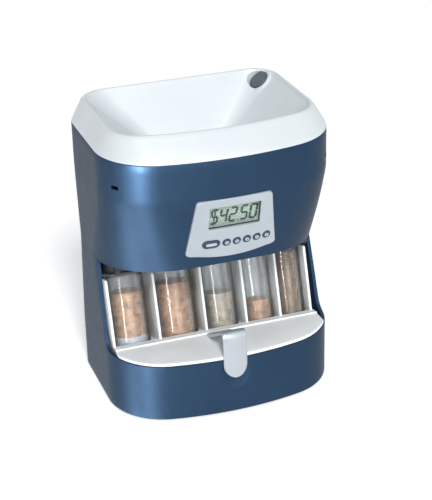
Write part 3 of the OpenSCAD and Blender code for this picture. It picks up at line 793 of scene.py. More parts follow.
@dataclass(frozen=True)
class ShellSizes:
    """Sizes of the casing and its lid, in millimetres."""

    half_w: float = 80.0
    front_y: float = -61.0
    back_y: float = 61.0
    bow_r: float = 217.0
    front_r: float = 42.5
    back_r: float = 21.0
    wall: float = 2.4
    rim_z: float = 42.0
    chin_z: float = 103.0
    crease_z: float = 160.5
    casing_h: float = 188.0
    chin_set: float = 14.0
    chin_r: float = 60.0
    waist: float = 1.4
    chin_arch: float = 6.0
    lean: float = 17.0
    handle_x: float = -2.5


SIZES = ShellSizes()
TILT = math.degrees(math.atan(SIZES.chin_set / (SIZES.crease_z - SIZES.chin_z)))
CHIN = place(turn_x(90 + TILT), (0, SIZES.front_y, SIZES.crease_z))
LEANING = place(turn_x(-SIZES.lean), (0, -20, 42.5))
SIDEWAYS = np.array([[0, 0, 1], [1, 0, 0], [0, 1, 0]], float)


def bowed_plan(hw: Levels, yf: Levels, rb: Levels, rc: Levels, yb: Levels, rk: Levels) -> Array:
    """Bow-fronted plan outline, one row for each level.

    The bow is an arc of radius rb centred at (0, yf + rb). Each front corner is an arc of radius rc
    that touches the bow and the side; its centre is at yc = yf + rb - sqrt((rb-rc)^2 - (hw-rc)^2).
    The back corners are arcs of radius rk.

    Args:
        hw: half widths.
        yf: front positions on the middle line.
        rb: bow radii.
        rc: front corner radii.
        yb: back positions.
        rk: back corner radii.

    Returns:
        (levels, around, 2) points, counter-clockwise.
    """
    rows = [np.atleast_1d(np.asarray(v, float)) for v in (hw, yf, rb, rc, yb, rk)]
    hw, yf, rb, rc, yb, rk = np.broadcast_arrays(*rows)
    yc = yf + rb - np.sqrt((rb - rc) ** 2 - (hw - rc) ** 2)
    t = np.arctan2(yc - yf - rb, hw - rc)
    zero, right, half = np.zeros_like(hw), np.full_like(hw, math.pi / 2), np.full_like(hw, math.pi)
    front_right = arc(hw - rc, yc, rc, t, zero, 22)
    back_right = arc(hw - rk, yb - rk, rk, zero, right, 13)
    back_left = arc(rk - hw, yb - rk, rk, right, half, 13)
    front_left = arc(rc - hw, yc, rc, half, half - t, 22)
    bow = arc(zero, yf + rb, rb, half - t, 2 * half + t, 50)[:, 1:-1]
    parts = [
        front_right, run(front_right[:, -1], back_right[:, 0], 10),
        back_right, run(back_right[:, -1], back_left[:, 0], 16),
        back_left, run(back_left[:, -1], front_left[:, 0], 10),
        front_left, bow,
    ]
    return np.concatenate(parts, axis=1)


def at_levels(plan: Array, z: Array) -> Array:
    """Lift plan outlines, (levels, around, 2), to the heights z."""
    tall = np.broadcast_to(np.asarray(z, float)[:, None, None], plan.shape[:2] + (1,))
    return np.concatenate([plan, tall], -1)


def shell_rings(z: Array, d: Levels) -> Array:
    """Casing outlines at heights z, drawn in by d.

    Between the chin and the crease, with k = (crease - z) / (crease - chin), the front is set back by
    14 k, the corner radius grows by 17.5 k^1.5 and each side comes in by 1.4 k^1.2. Under the chin the
    three fall back to nothing in a straight line. A soft maximum rounds the crease.

    Args:
        z: heights of the levels.
        d: how far each is drawn in.

    Returns:
        (levels, around, 3) points.
    """
    s = SIZES
    z = np.asarray(z, float)
    k = (s.crease_z - z) / (s.crease_z - s.chin_z)
    k = 0.5 * (k + np.sqrt(k * k + 0.0009))
    low = np.clip((z - s.rim_z) / (s.chin_z - s.rim_z), 0, 1)
    k = np.where(z < s.chin_z, low, np.minimum(k, 1.0))
    upper = z >= s.chin_z
    side = np.where(upper, s.waist * k**1.2, s.waist * k)
    corner = np.where(upper, k**1.5, k)
    rc = s.front_r + (s.chin_r - s.front_r) * corner
    plan = bowed_plan(s.half_w - side - d, s.front_y + s.chin_set * k + d, s.bow_r - d, rc - d,
                      s.back_y - d, s.back_r - d)
    return at_levels(plan, z)


def smooth_steps(*marks: float, step: float) -> list[float]:
    """Heights from the first mark to the last, each mark kept.

    Args:
        marks: heights that have to be there, in order.
        step: widest gap.

    Returns:
        The heights.
    """
    out: list[float] = []
    for a, b in zip(marks[:-1], marks[1:]):
        count = max(1, math.ceil((b - a) / step))
        out += list(np.linspace(a, b, count + 1)[:-1])
    return out + [marks[-1]]


def panel_outline(d: float = 0.0, radius: float = 2.6) -> Array:
    """Outline of the key panel in the chin's frame: straight sides and a foot bowed by 1.6 (x / 20)^2.

    Args:
        d: how much larger it is all round.
        radius: how far its corners are cut back.

    Returns:
        (n, 2) counter-clockwise points.
    """
    top, low, deep = 26.0, 31.6, 46.6
    foot = [(x, -deep + 1.6 * (x / 20.0) ** 2) for x in (-24, -20, -15, -10, -5, 0, 5, 10, 15, 20, 24)]
    side = deep - 6.4
    ring = [(low, -side - 2.2), (top, 0.0), (-top, 0.0), (-low, -side - 2.2)]
    corner = [(-low + 2.4, -side - 3.7), (low - 2.4, -side - 3.7)]
    points = closed_polygon(foot + [corner[1], ring[0], ring[1], ring[2], ring[3], corner[0]], radius, 5)
    return inset(points, -d) if d else points


def opening_cutter() -> bpy.types.Object:
    """Space under the chin: a leaning wedge whose top is the chin's arched edge.

    For each x the section is the wedge from the rim up to z(x) = 109 - R + sqrt(R^2 - x^2), with a
    fillet where the side wall's leaning edge meets the rim.

    Returns:
        The closed solid to cut with.
    """
    s = SIZES
    reach, half_span, sill_y, fillet_y, fillet_z = 100.0, 70.0, -14.0, 9.0, 9.4
    radius = (half_span**2 + s.chin_arch**2) / (2 * s.chin_arch)
    x = np.linspace(-reach, reach, 81)
    top = s.chin_z + s.chin_arch - radius + np.sqrt(radius**2 - x**2)
    slope = math.tan(math.radians(s.lean))
    u = np.linspace(0, 1, 9)
    a, b = np.array([sill_y - fillet_y, s.rim_z]), np.array([sill_y, s.rim_z])
    c = np.array([sill_y + fillet_z * slope, s.rim_z + fillet_z])
    fillet = (1 - u)[:, None] ** 2 * a + 2 * (u * (1 - u))[:, None] * b + u[:, None] ** 2 * c
    n = len(x)
    low = np.broadcast_to(np.concatenate([[[-reach, s.rim_z]], fillet]), (n, len(u) + 1, 2))
    back = np.stack([sill_y + (top - s.rim_z) * slope, top], -1)
    front = np.stack([np.full(n, -reach), top], -1)
    section = np.concatenate([low, back[:, None], front[:, None]], axis=1)
    across = np.broadcast_to(x[:, None, None], section.shape[:2] + (1,))
    return capped_solid("opening", np.concatenate([across, section], -1))


@dataclass
class Casing:
    """Blue casing: base bowl, leaning side walls and the bowed upper housing in one moulding."""

    sizes: ShellSizes = SIZES
    scoop_r: float = 40.0
    scoop_out: float = 38.2
    scoop_z: float = 31.0
    clip: tuple[float, float, float] = (73.4, -37.0, 170.0)
    clip_turn: float = 58.0
    bay_half: float = 30.3
    bay_z: tuple[float, float] = (15.7, 70.3)
    posts: tuple[tuple[float, float], ...] = ((-58, -30), (58, -30), (-66, 44), (66, 44))
    ledge_spots: tuple[tuple[float, float], ...] = ((-70.5, -14), (70.5, -14), (-70.5, 36), (70.5, 36))
    ledge_half: tuple[float, float] = (4.5, 4.0)
    ledge_z: tuple[float, float] = (128.2, 136.9)

    def shell(self) -> bpy.types.Object:
        """Closed shell whose section runs up the outside and down the inside, both ends rounded.

        Returns:
            The new object, not yet cut.
        """
        s = self.sizes
        z = smooth_steps(2.0, s.rim_z - 0.5, s.rim_z + 0.5, s.chin_z - 0.6, s.chin_z + 0.6, 156.0, 165.0,
                         s.casing_h - 0.5, step=6.0)
        z = sorted(set(z) | set(np.linspace(156.5, 164.5, 9)))
        low = [(1.2, 0.8), (1.3, 0.35), (1.6, 0.1)]
        high = [(s.casing_h - 0.2, 0.1), (s.casing_h, 0.35)]
        outer = low + [(v, 0.0) for v in z] + high
        inner = [(s.casing_h, s.wall)] + [(v, s.wall) for v in z[::-2]] + [(1.2, s.wall)]
        profile = np.array(outer + inner)
        return ring_solid("casing", shell_rings(profile[:, 0], profile[:, 1]))

    def build(self) -> None:
        """Cut the opening, the finger scoop, the panel window, the clip windows and the battery bay."""
        s = self.sizes
        shell = self.shell()
        t = np.linspace(-0.5 * math.pi + 0.03, 0.5 * math.pi - 0.03, 49)
        ball = np.c_[self.scoop_r * np.cos(t), self.scoop_r * np.sin(t)]
        middle = (s.handle_x, s.front_y - self.scoop_out, self.scoop_z)
        scoop = lathe("scoop", ball, place(np.eye(3), middle), 128)
        window = slab("window", panel_outline(0.35), -12, 12, 0.01, CHIN)
        x, y, z = self.clip
        clips = [block("clip", (-3, -2.7, -1.3), (3, 2.7, 1.3), 0.05, 0.8,
                       place(turn_z(side * self.clip_turn), (side * x, y, z))) for side in (-1, 1)]
        low, high = self.bay_z
        bay = block("bay", (-self.bay_half, s.back_y - 6, low), (self.bay_half, s.back_y + 2, high),
                    0.05, 2.0)
        combine(shell, [opening_cutter(), scoop, window, *clips, bay])
        finish_piece(shell, Finish.CASING, "casing")
        self.ledges()

    def ledges(self) -> None:
        """Screw posts and the ledges that carry the deck, inside the casing."""
        profile = [(1.5, 4.2), (3.7, 4.2), (4.0, 4.5), (4.0, 25.7), (3.7, 26.0), (1.5, 26.0)]
        for i, spot in enumerate(self.posts):
            post = lathe(f"screw_post_{i + 1}", profile, UPRIGHT, 32, spot, ring=True)
            finish_piece(post, Finish.CASING, "casing")
        (a, b), (low, high) = self.ledge_half, self.ledge_z
        for i, (x, y) in enumerate(self.ledge_spots):
            ledge = block(f"deck_ledge_{i + 1}", (x - a, y - b, low), (x + a, y + b, high), 0.4, 0.8)
            finish_piece(ledge, Finish.CASING, "casing")


BUTTON = place(turn_z(8) @ turn_y(-40), (59.4, 49.2, 197.0))


@dataclass
class Lid:
    """Silver hopper lid: drawn-in skirt, rounded rim and a four-sided funnel to the throat."""

    sizes: ShellSizes = SIZES
    side_draw: float = 8.3
    front_draw: float = 15.2
    bow_change: float = 20.0
    front_r_change: float = -17.0
    back_r_change: float = -2.4
    throat_half: float = 17.0
    throat_y: tuple[float, float] = (-9.0, 25.0)
    throat_bow: float = 300.0
    throat_r: float = 3.5
    throat_z: float = 159.0
    neck_z: float = 158.0
    wall: float = 2.0

    def ring(self, k: Levels, d: Levels) -> Array:
        """Lid outlines.

        Args:
            k: share of the skirt's draw, 0 at its foot and 1 at the rim.
            d: how far each is drawn in besides.

        Returns:
            (levels, around, 2) points.
        """
        s = self.sizes
        k, d = np.asarray(k, float), np.asarray(d, float)
        return bowed_plan(s.half_w - self.side_draw * k - d, s.front_y + self.front_draw * k + d,
                          s.bow_r + self.bow_change * k, s.front_r + self.front_r_change * k - 0.5 * d,
                          s.back_y - d, s.back_r + self.back_r_change * k - 0.5 * d)

    def throat(self, d: float) -> Array:
        """Throat outline grown by d."""
        (front, back), r = self.throat_y, self.throat_r + d
        return bowed_plan(self.throat_half + d, front - d, self.throat_bow, r, back + d, r)

    def build(self) -> None:
        """Section: up the skirt, over the rim, down the funnel, back up underneath.

        The funnel's point at fraction u is (1 - u) * rim point + u * throat point, so its four sides
        are nearly flat and meet in soft creases.
        """
        skirt = np.array([
            (188.0, 0.0, 0.5), (188.15, 0.0, 0.2), (188.5, 0.015, 0.05), (189.0, 0.04, 0), (191.0, 0.17, 0),
            (193.0, 0.31, 0), (195.0, 0.45, 0), (197.0, 0.6, 0), (199.0, 0.755, 0), (200.4, 0.86, 0),
            (201.4, 0.92, 0.1), (202.1, 0.96, 0.4), (202.7, 0.985, 0.8), (203.0, 1.0, 1.25),
            (203.0, 1.0, 2.0), (202.8, 1.0, 2.5), (202.35, 1.0, 2.85), (201.8, 1.0, 3.0)])
        outer = at_levels(self.ring(skirt[:, 1], skirt[:, 2]), skirt[:, 0])
        u = np.linspace(0, 1, 30)[1:, None, None]
        mouth, throat = outer[-1:], at_levels(self.throat(0.0), np.array([self.throat_z]))
        funnel = mouth * (1 - u) + throat * u
        neck = at_levels(self.throat(0.0), np.array([self.neck_z]))
        under_low = at_levels(self.throat(self.wall), np.array([self.neck_z]))
        under_top = at_levels(self.ring([1.0], [1.0]), np.array([199.8]))
        v = np.linspace(0, 1, 12)[:, None, None]
        under = under_low * (1 - v) + under_top * v
        inner_k = np.array([(198.6, 0.86, 2.0), (194.0, 0.42, 2.2), (190.0, 0.1, 4.3), (185.0, 0.0, 4.3),
                            (185.0, 0.0, 2.9), (187.8, 0.0, 2.9)])
        inner = at_levels(self.ring(inner_k[:, 1], inner_k[:, 2]), inner_k[:, 0])
        lid = ring_solid("lid", np.concatenate([outer, funnel, neck, under, inner]), 46.0)
        self.boss(lid)
        finish_piece(lid, Finish.LID, "lid")

    def boss(self, lid: bpy.types.Object) -> None:
        """Join the power button's boss to the funnel's back corner and sink the button's recess.

        Args:
            lid: the lid that changes.
        """
        boss = lathe("boss", disc_profile(9.2, -5.0, 0.1, 0.5), BUTTON, 72)
        rings = self.ring(np.array([1.0, 1.0]), np.array([0.8, 0.8]))
        hull = capped_solid("hull", at_levels(rings, np.array([170.0, 202.9])))
        combine(boss, [hull], Combine.COMMON)
        combine(lid, [boss], Combine.JOIN)
        recess = lathe("recess", [(0.05, -3.4), (7.45, -3.4), (7.45, 12.0), (0.05, 12.0)], BUTTON, 72)
        combine(lid, [recess], Combine.CUT, 40.0)


# ---------------------------------------------------------------- panel, display and keys


def sag(x: Array | float, radius: float = 217.0) -> Array:
    """How far the bowed front falls back at x, along the chin's outward direction."""
    return (radius - np.sqrt(radius**2 - np.asarray(x, float) ** 2)) * math.cos(math.radians(TILT))


SEGMENTS = {"$": "afgcd", "0": "abcdef", "2": "abged", "4": "fgbc", "5": "afgcd"}


@dataclass
class Panel:
    """Key panel on the chin: bowed plate with a display window, one long key and five round ones."""

    window: tuple[float, float, float, float] = (0.5, -14.0, 35.6, 17.2)
    key_v: float = -34.6
    key_foot: float = -4.6
    key_gap: float = 0.25
    long_key_x: float = -14.8
    long_key: tuple[float, float] = (12.0, 6.2)
    first_key_x: float = -4.2
    key_r: float = 2.75
    pitch: float = 7.1
    proud: float = 1.4
    reading: str = "$42.50"
    digit_foot: tuple[float, float] = (-15.0, -20.6)
    digit_size: tuple[float, float] = (4.2, 10.6)
    digit_gap: float = 2.25
    bar_w: float = 1.7
    lean: float = 0.1

    def window_ring(self, grow: float = 0.0) -> Array:
        """Outline of the display window.

        Args:
            grow: how much larger it is all round.

        Returns:
            (n, 2) points with rounded corners.
        """
        x, v, w, h = self.window
        a, b = w / 2 + grow, h / 2 + grow
        return closed_polygon([(x - a, v - b), (x + a, v - b), (x + a, v + b), (x - a, v + b)], 0.8)

    def sheet(self, name: str, grow: float, low: float, high: float) -> bpy.types.Object:
        """Flat sheet behind the display window.

        Args:
            name: name of the piece.
            grow: how much larger than the window it is all round.
            low: its inner face, along the chin's outward direction.
            high: its outer face.

        Returns:
            The new object.
        """
        x, v, w, h = self.window
        a, b = w / 2 + grow, h / 2 + grow
        return block(name, (x - a, v - b, low), (x + a, v + b, high), 0.1, 0.4, CHIN)

    def plate(self) -> None:
        """Plate whose face follows the bowed chin: w(x) = proud - sag(x), edges rounded."""
        edge = [(-6.0, 0.0), (-3.0, 0.0), (0.0, 0.0), (0.5, 0.0), (0.9, 0.08), (1.15, 0.22), (1.32, 0.42),
                (1.4, 0.75)]
        rings = []
        for w, d in edge:
            ring = panel_outline(-d)
            rings.append(np.c_[ring, w - sag(ring[:, 0])])
        last = panel_outline(-0.75)
        centre = np.array([0.0, -22.0])
        for k in np.linspace(1, 0, 14)[1:]:
            ring = centre + (last - centre) * max(k, 0.01)
            rings.append(np.c_[ring, self.proud - sag(ring[:, 0])])
        plate = capped_solid("panel", CHIN.put(np.array(rings)), 30.0)
        length, width = (size + 2 * self.key_gap for size in self.long_key)
        holes = [slab("hole", self.window_ring(), -20, 20, 0.01, CHIN),
                 stadium_slab("long hole", self.long_key_x, self.key_v, length, width, -20, 20, 0.01)]
        r = self.key_r + self.key_gap
        bore = [(0.05, -20), (r, -20), (r, 20), (0.05, 20)]
        for i in range(5):
            spot = (self.first_key_x + i * self.pitch, self.key_v)
            holes.append(lathe("round hole", bore, CHIN, 40, spot))
        combine(plate, holes, Combine.CUT, 30.0)
        finish_piece(plate, Finish.PANEL, "panel")

    def display(self) -> None:
        """Display glass, its seven-segment amount and the clear window over it."""
        finish_piece(self.sheet("display_glass", 1, -4.6, -2.9), Finish.LCD, "display_module")
        finish_piece(self.sheet("display_frame", 2, -5.2, -4.55), Finish.DARK, "display_module")
        finish_piece(self.sheet("display_window", 2, -2.4, -1.2), Finish.LENS, "display_lens")
        # Painted shade: a dark lining on the window's walls, so that the recess's lower and right walls show
        # dark whatever the light.
        outer = self.window_ring(0.05)
        inner = inset(outer, 0.55)
        rings = [np.c_[outer, np.full(len(outer), -1.1)], np.c_[outer, 0.5 - sag(outer[:, 0])],
                 np.c_[inner, 0.4 - sag(inner[:, 0])], np.c_[inner, np.full(len(inner), -1.1)]]
        gasket = ring_solid("display_gasket", CHIN.put(np.array(rings)))
        finish_piece(gasket, Finish.DARK, "panel")
        self.digits()

    def bar(self, start: Sequence[float], end: Sequence[float], thick: float, w: float = -2.86) -> Array:
        """Six-sided bar between two points, pointed at both ends.

        A point at height v above the digits' foot is moved right by 0.1 v, so that the digits lean.

        Args:
            start: its first point in the chin's frame.
            end: its last point.
            thick: how wide it is.
            w: how far out it lies.

        Returns:
            (6, 3) points in order.
        """
        a, b = np.array(start, float), np.array(end, float)
        length = float(np.linalg.norm(b - a))
        along = (b - a) / length
        across = np.array([-along[1], along[0]]) * thick / 2
        tip = thick * 0.35
        t = np.array([0, tip, length - tip, length, length - tip, tip])[:, None]
        side = np.array([0, -1, -1, 0, 1, 1])[:, None]
        flat = a + along * t + across * side
        flat[:, 0] += self.lean * (flat[:, 1] - self.digit_foot[1])
        return np.c_[flat, np.full(6, w)]

    def digits(self) -> None:
        """Amount shown as slanted seven-segment bars, one plate with a face for each bar."""
        x, foot = self.digit_foot
        width, height = self.digit_size
        middle, top = foot + height / 2, foot + height
        bars: list[Array] = []
        for char in self.reading:
            if char == ".":
                bars.append(self.bar((x - 0.95, foot), (x + 0.25, foot), 1.2))
                x += 1.2
                continue
            left, right = x, x + width
            lines = {"a": ((left, top), (right, top)), "b": ((right, top), (right, middle)),
                     "c": ((right, middle), (right, foot)), "d": ((left, foot), (right, foot)),
                     "e": ((left, foot), (left, middle)), "f": ((left, middle), (left, top)),
                     "g": ((left, middle), (right, middle))}
            bars += [self.bar(*lines[name], self.bar_w) for name in SEGMENTS[char]]
            if char == "$":
                stroke = x + width / 2
                bars.append(self.bar((stroke, foot - 1.4), (stroke, top + 1.4), 1.1, -2.82))
            x += width + self.digit_gap
        points = np.concatenate(bars)
        faces = np.arange(len(points)).reshape(-1, 6).tolist()
        plate = mesh_object("display_digits", CHIN.put(points), faces)
        finish_piece(plate, Finish.DIGIT, "display_module")

    def keys(self) -> None:
        """One long key and five round ones, each domed and marked, on its own body."""
        top, foot = self.proud + 0.7, self.key_foot
        z = top - float(sag(self.long_key_x))
        long_key = stadium_slab("key_long", self.long_key_x, self.key_v, *self.long_key, foot, z, 0.8)
        finish_piece(long_key, Finish.KEY, "key_long", Body.LONG_KEY)
        for i in range(5):
            x = self.first_key_x + i * self.pitch
            z = top - float(sag(x))
            body = Body(f"round_key_{i + 1}")
            cap = disc_profile(self.key_r, foot, z - 0.25, 0.6, 0.25)
            key = lathe(f"key_{i + 1}", cap, CHIN, 48, (x, self.key_v))
            finish_piece(key, Finish.KEY, f"key_{i + 1}", body)
            band = [(0.5, z - 0.2), (0.5, z + 0.04), (1.35, z + 0.01), (1.35, z - 0.2)]
            mark = lathe(f"key_mark_{i + 1}", band, CHIN, 32, (x, self.key_v), ring=True)
            finish_piece(mark, Finish.MARK, f"key_{i + 1}", body)
        z = top - float(sag(self.long_key_x)) + 0.03
        bar = stadium_slab("key_mark_long", self.long_key_x, self.key_v, 7.6, 2.2, 0.8, z, 0.02)
        finish_piece(bar, Finish.MARK, "key_long", Body.LONG_KEY)

    def build(self) -> None:
        """Build the plate, the display and the keys."""
        self.plate()
        self.display()
        self.keys()


def stadium_slab(name: str, x: float, v: float, w: float, h: float, z0: float, z1: float,
                 edge: float) -> bpy.types.Object:
    """Slab with half-round ends in the chin's frame.

    Args:
        name: name of the piece.
        x: its middle across.
        v: its middle up the chin.
        w: its length across.
        h: its width, and the diameter of its ends.
        z0: inner face.
        z1: outer face.
        edge: edge rounding.

    Returns:
        The new object.
    """
    a = np.linspace(-math.pi / 2, math.pi / 2, 17)
    right = np.c_[x + (w - h) / 2 + h / 2 * np.cos(a), v + h / 2 * np.sin(a)]
    left = np.c_[x - (w - h) / 2 - h / 2 * np.cos(a), v - h / 2 * np.sin(a)]
    return slab(name, np.concatenate([right, left]), z0, z1, edge, CHIN)


# ---------------------------------------------------------------- tray, tubes and coins


@dataclass(frozen=True)
class Coin:
    """One kind of coin: its bay, its own size and how its stack stands."""

    name: str
    x: float
    diameter: float
    thickness: float
    count: int
    start: float
    finish: Finish

    @property
    def tube_r(self) -> float:
        """Outer radius of the coin's tube."""
        return self.diameter / 2 + 1.6

    @property
    def y(self) -> float:
        """Tube centre from the tray's front line."""
        return 0.6 + self.tube_r


COINS = (
    Coin("quarter", -59.2, 24.26, 1.722, 18, 6.2, Finish.COPPER),
    Coin("dollar", -24.9, 26.5, 2.0, 19, 0.2, Finish.COPPER),
    Coin("nickel", 7.2, 21.21, 1.923, 13, 0.2, Finish.NICKEL),
    Coin("penny", 35.1, 19.05, 1.5, 10, 0.2, Finish.COPPER),
    Coin("dime", 59.2, 17.91, 1.353, 34, 0.2, Finish.TONED),
)


TUBE_H = 49.5
TUBE_WALL = 1.2
TUBE_FOOT = 0.15


@dataclass
class Tray:
    """White tray that draws out along the lean: apron, floor, lip, back wall, end plates, dividers."""

    left: float = -76.0
    right: float = 73.0
    fin_h: float = 49.0
    fin_foot: float = -1.5
    fin_y: tuple[float, float] = (-0.6, 34.0)
    fin_t: float = 1.8
    apron_z: tuple[float, float] = (42.3, 44.7)
    gap: float = 0.3
    bend: tuple[float, float] = (51.0, -40.0)
    bend_r: float = 22.0
    floor_y: tuple[float, float] = (-6.2, 35.3)
    dividers: tuple[float, ...] = (-42.0, -8.0, 22.0, 47.6)

    def apron_outline(self) -> Array:
        """Apron plan: the casing's bow between the tray's ends, with a 22 mm corner at the right.

        The front edge is y(x) = max(bow(x), corner(x)), where corner(x) = -40 - sqrt(22^2 - (x - 51)^2)
        past x = 51.

        Returns:
            (n, 2) counter-clockwise points.
        """
        s, gap, (x0, y0), r = SIZES, self.gap, self.bend, self.bend_r
        plan = bowed_plan(s.half_w - 0.4, s.front_y + gap, s.bow_r - gap, s.front_r - gap, s.back_y,
                          s.back_r)[0]
        front = plan[plan[:, 1] < -14.6]
        front = front[np.argsort(front[:, 0])]
        bend = x0 + r * np.sin(np.linspace(0, math.pi / 2, 20))
        x = np.concatenate([np.linspace(self.left, -50, 24), np.linspace(-48, 50, 50), bend])
        y = np.interp(x, front[:, 0], front[:, 1])
        past = np.clip(x - x0, 0, r)
        corner = np.where(x > x0, y0 - np.sqrt(np.maximum(r**2 - past**2, 0)), -1000)
        y = np.maximum(y, corner)
        return np.concatenate([np.c_[x, y], [[self.right, -30], [self.right, -19.0], [self.left, -19.0]]])

    def fin(self, name: str, x0: float, x1: float) -> bpy.types.Object:
        """Upright plate across the tray with rounded upper corners.

        Args:
            name: name of the piece.
            x0: its left face.
            x1: its right face.

        Returns:
            The new object.
        """
        (y0, y1), foot, tall = self.fin_y, self.fin_foot, self.fin_h
        section = closed_polygon([(y0, foot), (y1, foot), (y1, tall), (y0, tall)], 2.2, 6)
        where = place(turn_x(-SIZES.lean) @ SIDEWAYS, LEANING.origin)
        return slab(name, section, x0, x1, 0.45, where)

    def build(self) -> None:
        """Build the white mouldings, the pedestal of the first tube and the handle."""
        (front, back), t, tall = self.floor_y, self.fin_t, self.fin_h
        left, right, half = self.left, self.right, self.fin_t / 2
        white = [
            slab("tray", self.apron_outline(), *self.apron_z, 0.7),
            block("tray_floor", (left, front, -2), (right, back, 0.0), 0.5, 1.0, LEANING),
            block("tray_lip", (left, front, -1.9), (right, -0.6, 1.6), 0.7, 1.0, LEANING),
            block("tray_back", (left, back - t, -1), (right, back, tall - 4), 0.5, 0.6, LEANING),
            self.fin("tray_end_left", left, left + t),
            self.fin("tray_end_right", right - 1.4 - t, right - 1.4),
        ]
        for i, x in enumerate(self.dividers):
            white.append(self.fin(f"tray_divider_{i + 1}", x - half, x + half))
        for piece in white:
            finish_piece(piece, Finish.TRAY, "tray", Body.TRAY)
        first = COINS[0]
        pad = lathe("tray_pedestal", disc_profile(12.13, -0.5, 6.1, 0.4), LEANING, 72, (first.x, first.y))
        finish_piece(pad, Finish.PEDESTAL, "tray", Body.TRAY)
        for coin in COINS[1:]:
            profile = disc_profile(coin.diameter / 2 - 1.5, -0.5, 0.1, 0.2)
            seat = lathe(f"tray_seat_{coin.name}", profile, LEANING, 64, (coin.x, coin.y))
            finish_piece(seat, Finish.TRAY, "tray", Body.TRAY)
        Handle().build()


@dataclass
class Handle:
    """Silver strap handle: a crowned tongue over the rim whose top slopes back to the apron."""

    half: float = 8.5
    crown: float = 18.7
    front: float = -64.6
    foot: float = 29.5
    apron: float = 44.7
    rise: float = 18.0
    thick: float = 3.0

    def path(self) -> tuple[Array, Array, Array]:
        """Outer line, inner line and half width at each station, from the foot to the apron.

        Both lines are smooth cubic runs through their marks. The foot is a half round: with h the
        height above it, w(h) = sqrt(8.5^2 - (8.5 - h)^2).

        Returns:
            (n, 2) points of the outer line, as many of the inner line, and the n half widths.
        """
        f, a, peak, inner = self.front, self.apron, self.apron + self.rise, self.front + self.thick
        outer = [(f, self.foot + 9), (f + 0.2, a), (f + 1.2, peak - 5.4), (f + 2.0, peak - 2.4),
                 (f + 3.4, peak - 0.8), (f + 5.4, peak), (f + 7.6, peak - 0.2), (f + 9.8, peak - 1.4),
                 (-36.0, a + 5.9), (-28.4, a + 2.4), (-27.2, a + 1.2), (-27.0, a + 0.04)]
        under = [(inner, self.foot + 9), (inner + 0.2, a), (inner + 1.0, peak - 6.6),
                 (inner + 1.7, peak - 5.2), (inner + 2.6, peak - 3.8), (inner + 3.6, peak - 3.1),
                 (inner + 4.8, peak - 3.0), (inner + 6.4, peak - 3.7), (-39.0, a + 4.4),
                 (-33.4, a + 1.2), (-32.0, a + 0.4), (-31.4, a + 0.04)]
        hang = self.half * (1 - np.sin(np.linspace(0, 1.5, 16)))[::-1]
        out_line, in_line = (
            np.concatenate([np.c_[np.full(len(hang), y), self.foot + hang], spline(np.array(marks), 5)])
            for y, marks in ((f, outer), (inner, under)))
        half = np.full(len(out_line), self.half)
        half[: len(hang)] = np.sqrt(np.maximum(self.half**2 - (self.half - hang) ** 2, 0.01))
        return out_line, in_line, half

    def build(self) -> None:
        """Section across the strap: a crown outside, flat inside, both side edges rounded.

        The crown falls by R - sqrt(R^2 - x^2) with R = 18.7, and fades out along the sloping top.
        """
        outer, inner, half = self.path()
        u = np.linspace(-1, 1, 29)
        x = u[None, :] * half[:, None]
        fade = np.clip((self.apron + self.rise - outer[:, 1]) / 6.0, 0.15, 1.0)
        fade = np.where(outer[:, 0] > self.front + 6.0, 0.15, fade)[:, None]
        edge = np.clip((np.abs(u) - 0.86) / 0.14, 0, 1)[None, :]
        fall = (self.crown - np.sqrt(self.crown**2 - x**2)) * fade + 0.6 * (1 - np.sqrt(1 - edge**2))
        across = inner - outer
        gap = np.linalg.norm(across, axis=1)
        across = across / gap[:, None]
        fall = np.minimum(fall, 0.85 * gap[:, None])
        top = outer[:, None, :] + across[:, None, :] * fall[:, :, None]
        low = np.broadcast_to(inner[:, None, :], top.shape)
        top = np.concatenate([SIZES.handle_x + x[:, :, None], top], -1)
        low = np.concatenate([SIZES.handle_x + x[:, ::-1, None] * 0.985, low], -1)
        tongue = capped_solid("handle", np.concatenate([top, low], axis=1), 50.0)
        finish_piece(tongue, Finish.HANDLE, "handle", Body.TRAY)


def spline(marks: Array, steps: int) -> Array:
    """Smooth line through the marks.

    Between marks b and c, with a before and d after, it is half of
    2 b + (c - a) t + (2 a - 5 b + 4 c - d) t^2 + (3 b - a - 3 c + d) t^3 for t from 0 to 1.

    Args:
        marks: (n, dims) points it passes through.
        steps: points in each span.

    Returns:
        The points of the line, with the last mark.
    """
    p = np.concatenate([2 * marks[:1] - marks[1:2], marks, 2 * marks[-1:] - marks[-2:-1]])
    t = np.linspace(0, 1, steps, endpoint=False)[None, :, None]
    a, b, c, d = (p[i : len(p) - 3 + i][:, None, :] for i in range(4))
    line = 0.5 * (2 * b + (c - a) * t + (2 * a - 5 * b + 4 * c - d) * t**2 + (3 * b - a - 3 * c + d) * t**3)
    return np.concatenate([line.reshape(-1, marks.shape[1]), marks[-1:]])


def build_tube(coin: Coin) -> None:
    """Clear tube: a turned wall with rounded lips.

    Args:
        coin: the coin it holds.
    """
    r, h, t, z0 = coin.tube_r, TUBE_H, TUBE_WALL, TUBE_FOOT
    third, two, top = z0 + h * 0.33, z0 + h * 0.66, z0 + h
    outside = [(r - 0.3, z0), (r, z0 + 0.3), (r, third), (r, two), (r, top - 0.4), (r - 0.4, top)]
    inside = [(r - t + 0.3, top), (r - t, top - 0.4), (r - t, two), (r - t, third), (r - t, z0 + 0.3),
              (r - t + 0.2, z0)]
    tube = lathe(f"tube_{coin.name}", outside + inside, LEANING, 96, (coin.x, coin.y), ring=True)
    finish_piece(tube, Finish.TUBE, f"tube_{coin.name}", Body.TRAY)


